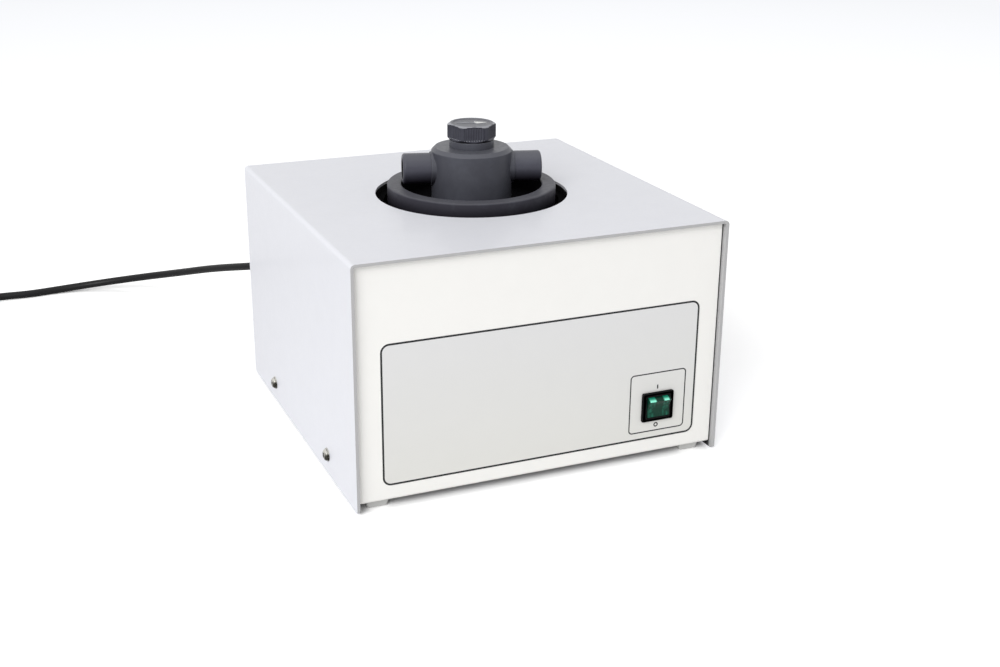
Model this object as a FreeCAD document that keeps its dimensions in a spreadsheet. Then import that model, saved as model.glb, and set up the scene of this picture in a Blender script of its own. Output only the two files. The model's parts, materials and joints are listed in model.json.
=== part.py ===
"""Anesthesia gas aspirator: a bench unit that draws waste gas through a charcoal canister.

A folded sheet case stands on four rubber feet. A canister with two side ports and a selector knob
stands in a round well in its top, over a centrifugal fan that blows out through slots in the rear.
Millimetres; +X right, front at -Y, +Z up; the origin is on the bench under the middle of the case.
"""
import FreeCAD, Part
import math
import os
from types import SimpleNamespace

import Sketcher

Vector = FreeCAD.Vector
UP = Vector(0, 0, 1)
RIGHT = Vector(1, 0, 0)
BACK = Vector(0, 1, 0)

DRIVING_SIZES = [
    # the case
    ("cover_width", 265), ("cover_depth", 265), ("case_height", 169.5), ("cover_clear", 1.5),
    ("cover_sheet", 2), ("cover_bend", 3), ("cover_corner", 3), ("top_hole", 137),
    ("chassis_sheet", 1.5), ("tray_bend", 2), ("panel_recess", 4), ("panel_gap", 1), ("panel_top_gap", 0.5),
    ("flange_gap", 0.3), ("flange_edge", 0.7), ("flange_height", 20), ("flange_inset", 11.5), ("through_cut", 20),
    ("cover_screw_y", 68), ("cover_screw_z", 16), ("slot_width", 4), ("slot_height", 32), ("slot_pitch", 7),
    ("slot_count", 7), ("slot_edge", 4), ("hole_play", 0.25), ("screw_play", 0.05),
    # the plate on the front panel
    ("label_width", 229.3), ("label_height", 98), ("label_x", 0.8), ("label_z", 65.5),
    ("label_corner", 6), ("label_thick", 0.4),
    # the feet: half widths at the top and the base
    ("foot_height", 6), ("foot_inset_x", 14.5), ("foot_inset_y", 15.5), ("foot_top", 8.7), ("foot_base", 6.8),
    ("foot_recess", 3.4), ("foot_recess_radius", 4), ("foot_corner", 1.5), ("foot_edge", 0.5),
    # screws and nuts: shank radius, head radius, head height, nut width and height
    ("small_shank", 1.45), ("small_head", 2.8), ("small_head_high", 1.8), ("small_nut", 5.5),
    ("small_nut_high", 2.4), ("large_shank", 1.95), ("large_head", 4), ("large_head_high", 2.4),
    ("large_nut", 7), ("large_nut_high", 3.2), ("washer_radius", 4.7), ("washer_thick", 0.8),
    ("head_bevel", 0.7), ("cover_screw_long", 9), ("screw_end", 2),
    # the rocker switch
    ("switch_x", 85.9), ("switch_z", 40.8), ("bezel_width", 24.2), ("bezel_height", 21.2), ("bezel_thick", 2),
    ("bezel_corner", 1.2), ("switch_width", 21.8), ("switch_height", 18.8), ("switch_depth", 20),
    ("cutout_play", 0.2), ("rocker_width", 17), ("rocker_play", 0.25), ("rocker_radius", 7.5),
    ("rocker_proud", 4.2), ("rocker_dip", 1.5), ("rocker_back", 3.5), ("rocker_tilt", 11),
    ("switch_cavity", 10), ("axle_radius", 1.2), ("axle_inset", 1), ("terminal_wide", 6.3), ("terminal_thick", 0.8),
    ("terminal_long", 8), ("terminal_pitch_x", 11), ("terminal_pitch_z", 8),
    # the canister: heights of its own parts, radii
    ("shell_radius", 58), ("shell_wall", 2), ("shell_lip", 12), ("shell_top_gap", 2.5), ("head_seal_gap", 0.1),
    ("bed_play", 0.1), ("grid_thick", 2), ("felt_thick", 4), ("grid_rim", 3), ("grid_stand", 8.5),
    ("grid_slot_count", 12), ("grid_slot_width", 5), ("grid_slot_start", 14), ("grid_slot_end", 48),
    ("rim_radius", 60), ("rim_inner", 50), ("rim_rise", 7), ("rim_thick", 3), ("rim_skirt", 24.5),
    ("rim_chamfer", 0.9), ("trough_drop", 8), ("trough_wall", 2.5), ("trough_floor", 3), ("skirt_play", 0.2),
    ("boss_radius", 28.5), ("boss_rise", 33), ("boss_chamfer", 2.5), ("boss_roof", 6), ("chamber_radius", 22),
    ("port_turn", 15), ("port_rise", 17.7), ("port_radius", 11), ("port_bore", 7.5), ("port_reach", 49.2),
    ("port_inner_end", 20), ("port_round", 1.8), ("collar_radius", 12), ("collar_reach", 29.5),
    ("collar_chamfer", 0.8), ("socket_play", 0.05),
    # the selector valve and its knob
    ("plug_radius", 19.5), ("plug_wall", 2.5), ("window_radius", 8.2), ("stem_radius", 8), ("stem_play", 0.08), ("retainer_thick", 2.4),
    ("retainer_inner", 16), ("valve_gap", 0.2), ("stem_seal_radius", 11), ("stem_seal_thick", 1.5),
    ("neck_radius", 15.8), ("neck_rise", 5), ("knob_gap", 0.3), ("knob_radius", 17.15), ("knob_flats", 31.2),
    ("knob_height", 11.8), ("knob_chamfer", 1.5), ("knob_socket", 6), ("knob_recess", 0.6),
    ("knob_recess_radius", 13.6), ("rib_count", 8), ("rib_pitch", 1.8), ("rib_width", 0.8), ("rib_depth", 0.6),
    ("mark_thick", 0.3), ("mark_length", 21), ("mark_line", 1), ("mark_head", 8), ("mark_head_wide", 4.4),
    # the well that the canister stands in
    ("well_radius", 62.5), ("well_wall", 1.5), ("well_flange", 72), ("well_floor_hole", 43),
    ("gasket_inner", 68.5), ("gasket_thick", 3.5), ("seal_inner", 44.5), ("seal_outer", 57), ("seal_height", 6.5),
    ("well_screw_circle", 67.3),
    ("well_foot", 71),
    # the fan: scroll, inlet, impeller and motor
    ("scroll_radius", 74), ("scroll_step", 9), ("scroll_wall", 2), ("scroll_floor", 2), ("scroll_height", 41.5),
    ("tongue_angle", 50), ("duct_gap", 0.3), ("ear_radius", 5), ("ear_offset", 4), ("fan_cover_thick", 2),
    ("inlet_radius", 43), ("inlet_lip", 2), ("inlet_lip_drop", 5.5), ("wheel_radius", 66.5),
    ("wheel_hub_radius", 31), ("wheel_back_rise", 9.5), ("wheel_back_thick", 1.5), ("shroud_inlet", 46.2),
    ("shroud_top_drop", 4), ("shroud_edge_drop", 13), ("shroud_thick", 1.3), ("blade_count", 9),
    ("blade_thick", 1.6), ("blade_inner", 40), ("blade_middle", 54), ("blade_middle_angle", 15),
    ("blade_outer_angle", 38), ("blade_lead", 2), ("waist_along", 0.25), ("waist_rise", 0.68), ("rotor_wall", 2.5), ("rotor_bottom_rise", 6.5), ("rotor_top_drop", 7),
    ("air_gap", 0.8), ("flange_radius", 33), ("flange_thick", 3.5), ("bearing_tube_radius", 9),
    ("bearing_radius", 6.5), ("bearing_length", 4), ("bearing_play", 0.05), ("shaft_radius", 3),
    ("stator_rise", 8.5), ("stator_length", 20), ("motor_screw_circle", 25), ("bearing_gap", 1),
    ("shaft_gap", 1.5), ("stator_core", 4), ("coil_count", 6),
    ("coil_slot", 4),
    # the electrical parts on the chassis floor
    ("gland_x", -80), ("gland_z", 62), ("gland_flange_radius", 10), ("gland_flange_thick", 5.7),
    ("gland_barrel", 7.9), ("gland_barrel_long", 10.5), ("gland_nut_wide", 22), ("gland_nut_high", 4),
    ("relief_long", 35), ("relief_root", 6.4), ("relief_tip", 4.3), ("relief_groove", 0.9),
    ("relief_rings", 5), ("gland_bevel", 1.5), ("block_inset_x", 26.5), ("block_inset_y", 28), ("block_length", 34),
    ("block_width", 18), ("block_well_deep", 6),
    ("block_height", 18), ("block_ways", 3), ("block_well", 2.6), ("capacitor_inset_x", 25.5),
    ("capacitor_inset_y", 43), ("capacitor_radius", 14), ("capacitor_length", 48), ("capacitor_cap", 2),
    ("clamp_sheet", 1.2), ("clamp_width", 12), ("clamp_foot", 8), ("clamp_gap", 0.1), ("earth_inset_x", 22.5),
    ("earth_y", 45), ("earth_long", 15), ("earth_tag", 0.8), ("lead_radius", 3), ("loom_radius", 2.6),
    # the mains lead
    ("cord_radius", 3.25), ("coil_x", -364), ("coil_y", 355), ("coil_radius", 36), ("coil_shave", 0.1), ("coil_turns_wide", 3),
    ("coil_turns_high", 2), ("plug_gap_y", 37), ("plug_relief_long", 20), ("plug_relief_root", 6.2), ("plug_relief_wall", 0.8),
    ("plug_width", 26), ("plug_height", 25), ("plug_long", 36), ("plug_corner", 4), ("blade_long", 16),
    ("blade_wide", 6.35), ("blade_flat", 1.5), ("blade_pitch", 12.7), ("earth_pin_radius", 2.4),
    ("earth_pin_long", 19), ("earth_pin_rise", 11.9), ("blade_level", 7),
]

# The lead's route from the strain relief to its coil, chosen by hand.
CORD_ROUTE = [
    (-80, 169.2, 62), (-80, 190, 62), (-90, 221, 58.8), (-111.5, 254, 51), (-130.7, 290, 40.8),
    (-151, 325, 28), (-180, 362, 15.8), (-214, 386, 7), (-252, 392.3, 3.25), (-280, 388.4, 3.25),
    (-305, 391, 3.25), (-330, 391, 3.25),
]
# The mains lead's inner end, from the gland to the terminal block: x from the block's right end, y from its middle.
SUPPLY_ROUTE = [(7, 18.9, 62), (7, -2, 62), (12, -12, 44), (17, -8, 25), (14, 0, 15), (0.1, 0, 15)]
# The loom from the block: x from the left wall's inside, y from the block's middle.
LOOM_START = [(18.5, -9.1, 20), (18.5, -26, 20)]
# On round the left of the well: x from the left wall's inside, y from the case's middle.
LOOM_SIDE = [(14.5, 44, 46), (13.5, -10, 58), (14.5, -62, 58), (24.5, -100, 58)]
# And on along the front to the switch: y from the back of the switch's case.
LOOM_FRONT = [
    (-64, -3.1, 59), (-6, 3.9, 57), (42, 17.9, 53), (68, 30.9, 47), (82.8, 29.9, 41.3), (85.9, 15.9, 40.8),
    (85.9, 0.1, 40.8),
]


class Size(float):
    """A number that remembers the sheet expression it is worked out from."""

    def __new__(cls, number, text):
        size = super().__new__(cls, number)
        size.text = text
        return size

    def combined(self, number, sign, left, right):
        return Size(number, "(%s %s %s)" % (text_of(left), sign, text_of(right)))

    def __add__(self, other):
        return self.combined(float(self) + float(other), "+", self, other)

    def __radd__(self, other):
        return self.combined(float(other) + float(self), "+", other, self)

    def __sub__(self, other):
        return self.combined(float(self) - float(other), "-", self, other)

    def __rsub__(self, other):
        return self.combined(float(other) - float(self), "-", other, self)

    def __mul__(self, other):
        return self.combined(float(self) * float(other), "*", self, other)

    def __rmul__(self, other):
        return self.combined(float(other) * float(self), "*", other, self)

    def __truediv__(self, other):
        return self.combined(float(self) / float(other), "/", self, other)

    def __neg__(self):
        return Size(-float(self), "(0 - %s)" % self.text)


def text_of(number):
    """The expression of a size, or a plain number as text."""
    return number.text if isinstance(number, Size) else "%.9g" % number


doc = FreeCAD.newDocument("gas_aspirator")
sheet = doc.addObject("Spreadsheet::Sheet", "Sizes")
for row, (alias, number) in enumerate(DRIVING_SIZES, start=1):
    sheet.set("A%d" % row, alias)
    sheet.set("B%d" % row, str(number))
    sheet.setAlias("B%d" % row, alias)
doc.recompute()
S = SimpleNamespace(**{alias: Size(sheet.get(alias), "Sizes." + alias) for alias, number in DRIVING_SIZES})

sub_parts = []


def bind(feature, field, number):
    """Sets a property, and ties it to the sheet where the number comes from there."""
    if isinstance(number, Size):
        feature.setExpression(field, number.text)
    elif "." in field:
        feature.setExpression(field, text_of(number))
    else:
        setattr(feature, field, number)


def place(feature, x=None, y=None, z=None):
    """Moves a sub-part to a place tied to the sheet."""
    for letter, number in (("x", x), ("y", y), ("z", z)):
        if number is not None:
            bind(feature, "Placement.Base." + letter, number)
    return feature


def turn_with_ports(feature):
    """Turns a canister piece, drawn with its ports along X, to where the ports point."""
    feature.Placement = FreeCAD.Placement(feature.Placement.Base, FreeCAD.Rotation(UP, -S.port_turn))
    return feature


def new_body(label):
    body = doc.addObject("PartDesign::Body", "Body_" + label)
    body.Label = label
    sub_parts.append(body)
    return body


def new_sketch(body, role, level=None):
    """A sketch on one of the body's own planes, moved along the plane's normal by level."""
    sketch = body.newObject("Sketcher::SketchObject", "Sketch_" + body.Label)
    plane = next(item for item in body.Origin.OriginFeatures if item.Role == role)
    sketch.AttachmentSupport = (plane, "")
    sketch.MapMode = "FlatFace"
    if level is not None:
        bind(sketch, "AttachmentOffset.Base.z", level)
    return sketch


def hold(sketch, curve, point, x, y):
    """Holds a point of a sketch at its distances from the origin."""
    for kind, axis, number in (("DistanceX", -2, x), ("DistanceY", -1, y)):
        if float(number) == 0:
            sketch.addConstraint(Sketcher.Constraint("PointOnObject", curve, point, axis))
        else:
            index = sketch.addConstraint(Sketcher.Constraint(kind, -1, 1, curve, point, float(number)))
            if isinstance(number, Size):
                sketch.setExpression("Constraints[%d]" % index, number.text)


def draw_outline(sketch, corners):
    """A closed outline of straight lines through corners."""
    first = sketch.GeometryCount
    count = len(corners)
    for index in range(count):
        start, end = corners[index], corners[(index + 1) % count]
        sketch.addGeometry(Part.LineSegment(Vector(start[0], start[1], 0), Vector(end[0], end[1], 0)))
    for index in range(count):
        following = first + (index + 1) % count
        sketch.addConstraint(Sketcher.Constraint("Coincident", first + index, 2, following, 1))
    for index, (x, y) in enumerate(corners):
        hold(sketch, first + index, 1, x, y)


def draw_rectangle(sketch, x, y, width, height):
    """A rectangle about the centre x, y."""
    left, right = x - width / 2, x + width / 2
    low, high = y - height / 2, y + height / 2
    draw_outline(sketch, [(left, low), (right, low), (right, high), (left, high)])


def draw_circle(sketch, x, y, radius):
    curve = sketch.addGeometry(Part.Circle(Vector(x, y, 0), UP, radius))
    hold(sketch, curve, 3, x, y)
    index = sketch.addConstraint(Sketcher.Constraint("Radius", curve, float(radius)))
    if isinstance(radius, Size):
        sketch.setExpression("Constraints[%d]" % index, radius.text)


def extrude(body, kind, sketch, length, side="One side", reverse=False):
    """A Pad or a Pocket of the sketch."""
    feature = body.newObject("PartDesign::" + kind, kind + "_" + body.Label)
    feature.Profile = sketch
    bind(feature, "Length", length)
    feature.SideType = side
    feature.Reversed = reverse
    return feature


def turn(body, kind, sketch, axis="V_Axis"):
    """A Revolution or a Groove of the sketch about one of its axes."""
    feature = body.newObject("PartDesign::" + kind, kind + "_" + body.Label)
    feature.Profile = sketch
    feature.ReferenceAxis = (sketch, [axis])
    feature.Angle = 360
    return feature


def turned(label, corners, role="XZ_Plane", axis="V_Axis"):
    """A turned piece: its half section revolved about the axis of its sketch."""
    body = new_body(label)
    sketch = new_sketch(body, role)
    draw_outline(sketch, corners)
    turn(body, "Revolution", sketch, axis)
    return body


def near(first, second):
    return abs(float(first) - float(second)) < 1e-4


def edge_at(edge, x=None, y=None, z=None):
    """Whether both ends of a straight edge lie on one side, at the given distances from the middle planes."""
    for letter, number in (("x", x), ("y", y), ("z", z)):
        places = [getattr(vertex.Point, letter) for vertex in edge.Vertexes]
        if number is not None and not all(near(abs(item), number) and near(item, places[0]) for item in places):
            return False
    return True


def circle_at(edge, radius, level, letter="z"):
    """Whether an edge is a circle of this radius at this level along an axis."""
    curve = edge.Curve
    round_edge = isinstance(curve, Part.Circle)
    return round_edge and near(curve.Radius, radius) and near(getattr(curve.Center, letter), level)


def dress(body, kind, size, chosen):
    """A Fillet or a Chamfer on the body's edges that the test chooses."""
    doc.recompute()
    base = body.Tip
    names = ["Edge%d" % number for number, edge in enumerate(base.Shape.Edges, start=1) if chosen(edge)]
    feature = body.newObject("PartDesign::" + kind, kind + "_" + body.Label)
    feature.Base = (base, names)
    bind(feature, "Radius" if kind == "Fillet" else "Size", size)
    return feature


def feature_of(label, shape):
    """A sub-part whose shape is worked out here from the sheet's sizes."""
    feature = doc.addObject("Part::Feature", "Part_" + label)
    feature.Label = label
    feature.Shape = shape
    sub_parts.append(feature)
    return feature


def group_of(label, shape, placements):
    """Identical pieces as one group of separate solids."""
    copies = []
    for placement in placements:
        copy = shape.copy()
        copy.Placement = placement.multiply(copy.Placement)
        copies.append(copy)
    return feature_of(label, Part.Compound(copies))


def wire_of(start, steps):
    """A closed wire from start: a step is a corner, or a middle and an end of an arc."""
    edges = []
    current = Vector(*start)
    for step in steps:
        if isinstance(step[0], tuple):
            middle, end = Vector(*step[0]), Vector(*step[1])
            edges.append(Part.Arc(current, middle, end).toShape())
        else:
            end = Vector(*step)
            edges.append(Part.LineSegment(current, end).toShape())
        current = end
    if current.distanceToPoint(Vector(*start)) > 1e-6:
        edges.append(Part.LineSegment(current, Vector(*start)).toShape())
    return Part.Wire(edges)


def revolved(start, steps, centre=Vector(0, 0, 0), axis=UP):
    """A solid turned from a half section given as for wire_of."""
    return Part.Face(wire_of(start, steps)).revolve(centre, axis, 360)


def hex_prism(across_flats, height, level=0.0):
    """A hexagonal prism about Z."""
    radius = across_flats / math.sqrt(3)
    corners = [Vector(radius * math.cos(math.radians(60 * k)), radius * math.sin(math.radians(60 * k)), level)
               for k in range(7)]
    return Part.Face(Part.makePolygon(corners)).extrude(Vector(0, 0, height))


def pan_screw(shank, head, head_high, length):
    """A pan head screw about Z with its seat at z = 0 and its shank downwards."""
    bevel = S.head_bevel
    return revolved((0, 0, -length), [(shank, 0, -length), (shank, 0, 0), (head, 0, 0), (head, 0, head_high - bevel),
                                      (head - bevel, 0, head_high), (0, 0, head_high)])


def hex_nut(across_flats, height, bore):
    """A hexagon nut about Z on z = 0, its outer corners turned off."""
    radius = across_flats / math.sqrt(3)
    bevel = radius - across_flats / 2
    blank = revolved((bore, 0, 0), [(radius - bevel, 0, 0), (radius, 0, bevel), (radius, 0, height - bevel),
                                    (radius - bevel, 0, height), (bore, 0, height)])
    return hex_prism(across_flats, height).common(blank)


def at(x, y, z, axis=UP, turn_by=0.0):
    """A placement that points local Z along axis, after a turn about it."""
    rotation = FreeCAD.Rotation(UP, axis).multiply(FreeCAD.Rotation(UP, turn_by))
    return FreeCAD.Placement(Vector(x, y, z), rotation)


def tube_along(points, radius):
    """A round tube along straight runs joined by tangent arcs; also returns its length and radii."""
    points = [Vector(*point) for point in points]
    edges = []
    radii = []
    start = points[0]
    for before, corner, after in zip(points, points[1:], points[2:]):
        inward, outward = (corner - before), (after - corner)
        shorter = min(inward.Length, outward.Length)
        inward.normalize()
        outward.normalize()
        setback = 0.45 * shorter
        turning = inward.getAngle(outward)
        radii.append(setback / math.tan(turning / 2))
        entry, leave = corner - inward * setback, corner + outward * setback
        towards = (outward - inward).normalize()
        centre = corner + towards * math.hypot(radii[-1], setback)
        middle = centre - towards * radii[-1]
        edges.append(Part.LineSegment(start, entry).toShape())
        edges.append(Part.Arc(entry, middle, leave).toShape())
        start = leave
    edges.append(Part.LineSegment(start, points[-1]).toShape())
    path = Part.Wire(edges)
    section = Part.Wire([Part.Circle(points[0], points[1] - points[0], radius).toShape()])
    return path.makePipeShell([section], True, False), path.Length, radii


# Levels and half sizes that several pieces share

half_width = S.cover_width / 2
half_depth = S.cover_depth / 2
panel_face = half_depth - S.panel_recess
label_face = panel_face + S.label_thick
bezel_face = label_face + S.bezel_thick
panel_inside = panel_face - S.chassis_sheet
switch_back = label_face - S.switch_depth
floor_top = S.foot_height + S.chassis_sheet
cover_inside = half_width - S.cover_sheet
under_cover = S.case_height - S.cover_sheet
flange_outside = cover_inside - S.flange_gap
scroll_floor_top = floor_top + S.scroll_floor
scroll_top = floor_top + S.scroll_height
well_base = scroll_top + S.fan_cover_thick
well_floor_top = well_base + S.well_wall
well_top = under_cover - S.gasket_thick
shell_bottom = well_floor_top + S.seal_height
stator_low = floor_top + S.stator_rise
block_x = S.block_inset_x - cover_inside
block_y = panel_inside - S.block_inset_y
capacitor_x = S.capacitor_inset_x - cover_inside
capacitor_y = S.capacitor_inset_y - panel_inside
earth_x = S.earth_inset_x - cover_inside
rim_top = S.case_height + S.rim_rise
boss_top = S.case_height + S.boss_rise
port_level = S.case_height + S.port_rise
trough_top = S.case_height - S.trough_drop
trough_under = trough_top - S.trough_floor
chamber_top = boss_top - S.boss_roof
neck_top = boss_top + S.neck_rise
knob_base = neck_top + S.knob_gap
knob_top = knob_base + S.knob_height
rear_end = panel_face + S.gland_flange_thick
relief_end = rear_end + S.relief_long

SCREW_SIDES = [(side, end) for side in (-1, 1) for end in (-1, 1)]


def make_cover():
    """The folded cover: top and two sides, open at the front and the rear."""
    body = new_body("cover")
    low, high, wall = S.cover_clear, S.case_height, S.cover_sheet
    profile = new_sketch(body, "XZ_Plane")
    draw_outline(profile, [
        (-half_width, low), (-half_width, high), (half_width, high), (half_width, low),
        (cover_inside, low), (cover_inside, high - wall), (-cover_inside, high - wall), (-cover_inside, low)])
    extrude(body, "Pad", profile, S.cover_depth, "Symmetric")
    dress(body, "Fillet", S.cover_bend, lambda e: edge_at(e, x=half_width, z=high))
    dress(body, "Fillet", S.cover_bend - wall, lambda e: edge_at(e, x=cover_inside, z=high - wall))
    dress(body, "Fillet", S.cover_corner, lambda e: edge_at(e, y=half_depth, z=low))
    hole = new_sketch(body, "XY_Plane", high)
    draw_circle(hole, 0, 0, S.top_hole / 2)
    extrude(body, "Pocket", hole, wall * 2)
    screws = new_sketch(body, "YZ_Plane")
    for end in (-1, 1):
        draw_circle(screws, S.cover_screw_y * end, S.cover_screw_z, S.large_shank + S.hole_play)
    extrude(body, "Pocket", screws, S.cover_width + S.through_cut, "Symmetric")


def make_chassis():
    """The folded tray: front and rear panels, floor and two screw flanges."""
    body = new_body("chassis")
    low, wall = S.foot_height, S.chassis_sheet
    high = under_cover - S.panel_top_gap
    inner = panel_inside
    profile = new_sketch(body, "YZ_Plane")
    draw_outline(profile, [
        (-panel_face, low), (panel_face, low), (panel_face, high), (inner, high),
        (inner, low + wall), (-inner, low + wall), (-inner, high), (-panel_face, high)])
    extrude(body, "Pad", profile, (cover_inside - S.panel_gap) * 2, "Symmetric")
    dress(body, "Fillet", S.tray_bend, lambda e: edge_at(e, y=panel_face, z=low))
    dress(body, "Fillet", S.tray_bend - wall, lambda e: edge_at(e, y=inner, z=low + wall))
    flange_inside = flange_outside - wall
    flange_high = low + S.flange_height
    flanges = new_sketch(body, "XZ_Plane")
    draw_outline(flanges, [
        (-flange_outside, low), (flange_outside, low), (flange_outside, flange_high),
        (flange_inside, flange_high), (flange_inside, low + wall), (-flange_inside, low + wall),
        (-flange_inside, flange_high), (-flange_outside, flange_high)])
    extrude(body, "Pad", flanges, (panel_face - S.flange_inset) * 2, "Symmetric")
    dress(body, "Fillet", (S.panel_gap - S.flange_gap) * S.flange_edge, lambda e: edge_at(e, x=flange_outside, z=low))

    opening = new_sketch(body, "XZ_Plane", panel_face)
    draw_rectangle(opening, S.switch_x, S.switch_z,
                   S.switch_width + S.cutout_play * 2, S.switch_height + S.cutout_play * 2)
    extrude(body, "Pocket", opening, wall * 2)

    gland = new_sketch(body, "XZ_Plane", -panel_face)
    draw_circle(gland, S.gland_x, S.gland_z, S.gland_barrel + S.hole_play)
    extrude(body, "Pocket", gland, wall * 2, reverse=True)

    slot = new_sketch(body, "XZ_Plane", -panel_face)
    draw_rectangle(slot, first_slot_x, slot_level, S.slot_width, S.slot_height)
    cut = extrude(body, "Pocket", slot, wall * 2, reverse=True)
    row = body.newObject("PartDesign::LinearPattern", "Slots_chassis")
    row.Originals = [cut]
    row.Direction = (slot, ["H_Axis"])
    bind(row, "Length", S.slot_pitch * (S.slot_count - 1))
    bind(row, "Occurrences", S.slot_count)
    body.Tip = row

    holes = new_sketch(body, "XY_Plane", low)
    for x, y in foot_places:
        draw_circle(holes, x, y, S.small_shank + S.hole_play)
    for x, y in floor_screw_places:
        draw_circle(holes, x, y, S.small_shank + S.screw_play)
    for x, y in motor_screw_places:
        draw_circle(holes, x, y, S.large_shank + S.hole_play)
    draw_circle(holes, earth_x, S.earth_y, S.large_shank + S.screw_play)
    extrude(body, "Pocket", holes, wall * 2, reverse=True)

    sides = new_sketch(body, "YZ_Plane")
    for end in (-1, 1):
        draw_circle(sides, S.cover_screw_y * end, S.cover_screw_z, S.large_shank + S.hole_play)
    extrude(body, "Pocket", sides, S.cover_width + S.through_cut, "Symmetric")


def make_front_label():
    """The plate on the front panel, cut out round the switch."""
    body = new_body("front_label")
    plate = new_sketch(body, "XZ_Plane", panel_face)
    draw_rectangle(plate, S.label_x, S.label_z, S.label_width, S.label_height)
    extrude(body, "Pad", plate, S.label_thick)
    dress(body, "Fillet", S.label_corner, lambda e: near(e.Length, S.label_thick))
    opening = new_sketch(body, "XZ_Plane", label_face)
    draw_rectangle(opening, S.switch_x, S.switch_z,
                   S.switch_width + S.cutout_play * 2, S.switch_height + S.cutout_play * 2)
    extrude(body, "Pocket", opening, S.label_thick * 2)


def make_cover_fasteners():
    """The screws, washers and clinch nuts that hold the cover to the tray's flanges."""
    seat = half_width + S.washer_thick
    screw = pan_screw(S.large_shank, S.large_head, S.large_head_high, S.cover_screw_long)
    washer = Part.makeCylinder(S.washer_radius, S.washer_thick).cut(
        Part.makeCylinder(S.large_shank + S.hole_play, S.washer_thick))
    nut = hex_nut(S.large_nut, S.large_nut_high, S.large_shank + S.screw_play)
    flange_inside = flange_outside - S.chassis_sheet
    screws, washers, nuts = [], [], []
    for side, end in SCREW_SIDES:
        outward = Vector(side, 0, 0)
        y, z = S.cover_screw_y * end, S.cover_screw_z
        screws.append(at(seat * side, y, z, outward, 25 * end))
        washers.append(at(half_width * side, y, z, outward))
        nuts.append(at((flange_inside - S.large_nut_high) * side, y, z, outward))
    group_of("cover_screws", screw, screws)
    group_of("cover_washers", washer, washers)
    group_of("cover_nuts", nut, nuts)


def make_feet():
    """Square tapered rubber feet, each with a screw in its recess and a nut on the tray's floor."""
    squares = [wire_of((-half, -half, level), [(half, -half, level), (half, half, level), (-half, half, level)])
               for half, level in ((S.foot_base, 0), (S.foot_top, S.foot_height))]
    foot = Part.makeLoft(squares, True, True)
    foot = foot.makeFillet(S.foot_corner, [edge for edge in foot.Edges if edge.BoundBox.ZLength > S.foot_edge])
    foot = foot.makeChamfer(S.foot_edge, [edge for edge in foot.Edges if near(edge.BoundBox.ZMax, 0)])
    foot = foot.cut(Part.makeCylinder(S.foot_recess_radius, S.foot_recess))
    foot = foot.cut(Part.makeCylinder(S.small_shank + S.hole_play, S.foot_height))
    screw = pan_screw(S.small_shank, S.small_head, S.small_head_high,
                      floor_top - S.foot_recess + S.small_nut_high + S.screw_end / 2)
    nut = hex_nut(S.small_nut, S.small_nut_high, S.small_shank + S.screw_play)
    group_of("feet", foot, [at(x, y, 0) for x, y in foot_places])
    group_of("foot_screws", screw, [at(x, y, S.foot_recess, -UP) for x, y in foot_places])
    group_of("foot_nuts", nut, [at(x, y, floor_top) for x, y in foot_places])


def make_switch():
    """The rocker switch's bezel and case, with its cavity and axle hole."""
    body = new_body("switch_body")
    bezel = new_sketch(body, "XZ_Plane", label_face)
    draw_rectangle(bezel, S.switch_x, S.switch_z, S.bezel_width, S.bezel_height)
    extrude(body, "Pad", bezel, S.bezel_thick)
    dress(body, "Fillet", S.bezel_corner, lambda e: near(e.Length, S.bezel_thick))
    dress(body, "Chamfer", S.bezel_thick / 4, lambda e: edge_at(e, y=bezel_face))
    case = new_sketch(body, "XZ_Plane", label_face)
    draw_rectangle(case, S.switch_x, S.switch_z, S.switch_width, S.switch_height)
    extrude(body, "Pad", case, S.switch_depth, reverse=True)
    cavity = new_sketch(body, "XZ_Plane", bezel_face)
    draw_rectangle(cavity, S.switch_x, S.switch_z,
                   S.rocker_width + S.rocker_play * 2, (S.rocker_radius + S.rocker_play) * 2)
    extrude(body, "Pocket", cavity, S.bezel_thick + S.switch_cavity)
    axle = new_sketch(body, "YZ_Plane", S.switch_x)
    draw_circle(axle, -label_face, S.switch_z, S.axle_radius + S.bearing_play)
    extrude(body, "Pocket", axle, S.switch_width - S.axle_inset, "Symmetric")


def make_rocker():
    """The rocker at rest in its off position, its lower half pressed in, and its axle."""
    tilt = math.radians(S.rocker_tilt)
    reach = S.rocker_radius

    def point(out, up):
        outward = out * math.cos(tilt) + up * math.sin(tilt)
        upward = up * math.cos(tilt) - out * math.sin(tilt)
        return (S.switch_x - S.rocker_width / 2, -label_face - outward, S.switch_z + upward)

    corner = math.sqrt(reach ** 2 - S.rocker_proud ** 2)
    heel = math.sqrt(reach ** 2 - S.rocker_back ** 2)
    dip = S.rocker_proud - S.rocker_dip
    wire = wire_of(point(S.rocker_proud, corner), [
        (point(dip, 0), point(S.rocker_proud, -corner)), (point(0, -reach), point(-S.rocker_back, -heel)),
        point(-S.rocker_back, heel), (point(0, reach), point(S.rocker_proud, corner))])
    rocker = Part.Face(wire).extrude(Vector(S.rocker_width, 0, 0))
    bore = Part.makeCylinder(S.axle_radius + S.bearing_play / 5, S.rocker_width,
                             Vector(S.switch_x - S.rocker_width / 2, -label_face, S.switch_z), RIGHT)
    feature_of("rocker", rocker.cut(bore))
    length = S.switch_width - S.axle_inset * 2
    axle = doc.addObject("Part::Cylinder", "Part_rocker_axle")
    axle.Label = "rocker_axle"
    bind(axle, "Radius", S.axle_radius)
    bind(axle, "Height", length)
    axle.Placement = at(S.switch_x - length / 2, -label_face, S.switch_z, RIGHT)
    place(axle, S.switch_x - length / 2, -label_face, S.switch_z)
    sub_parts.append(axle)


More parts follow.
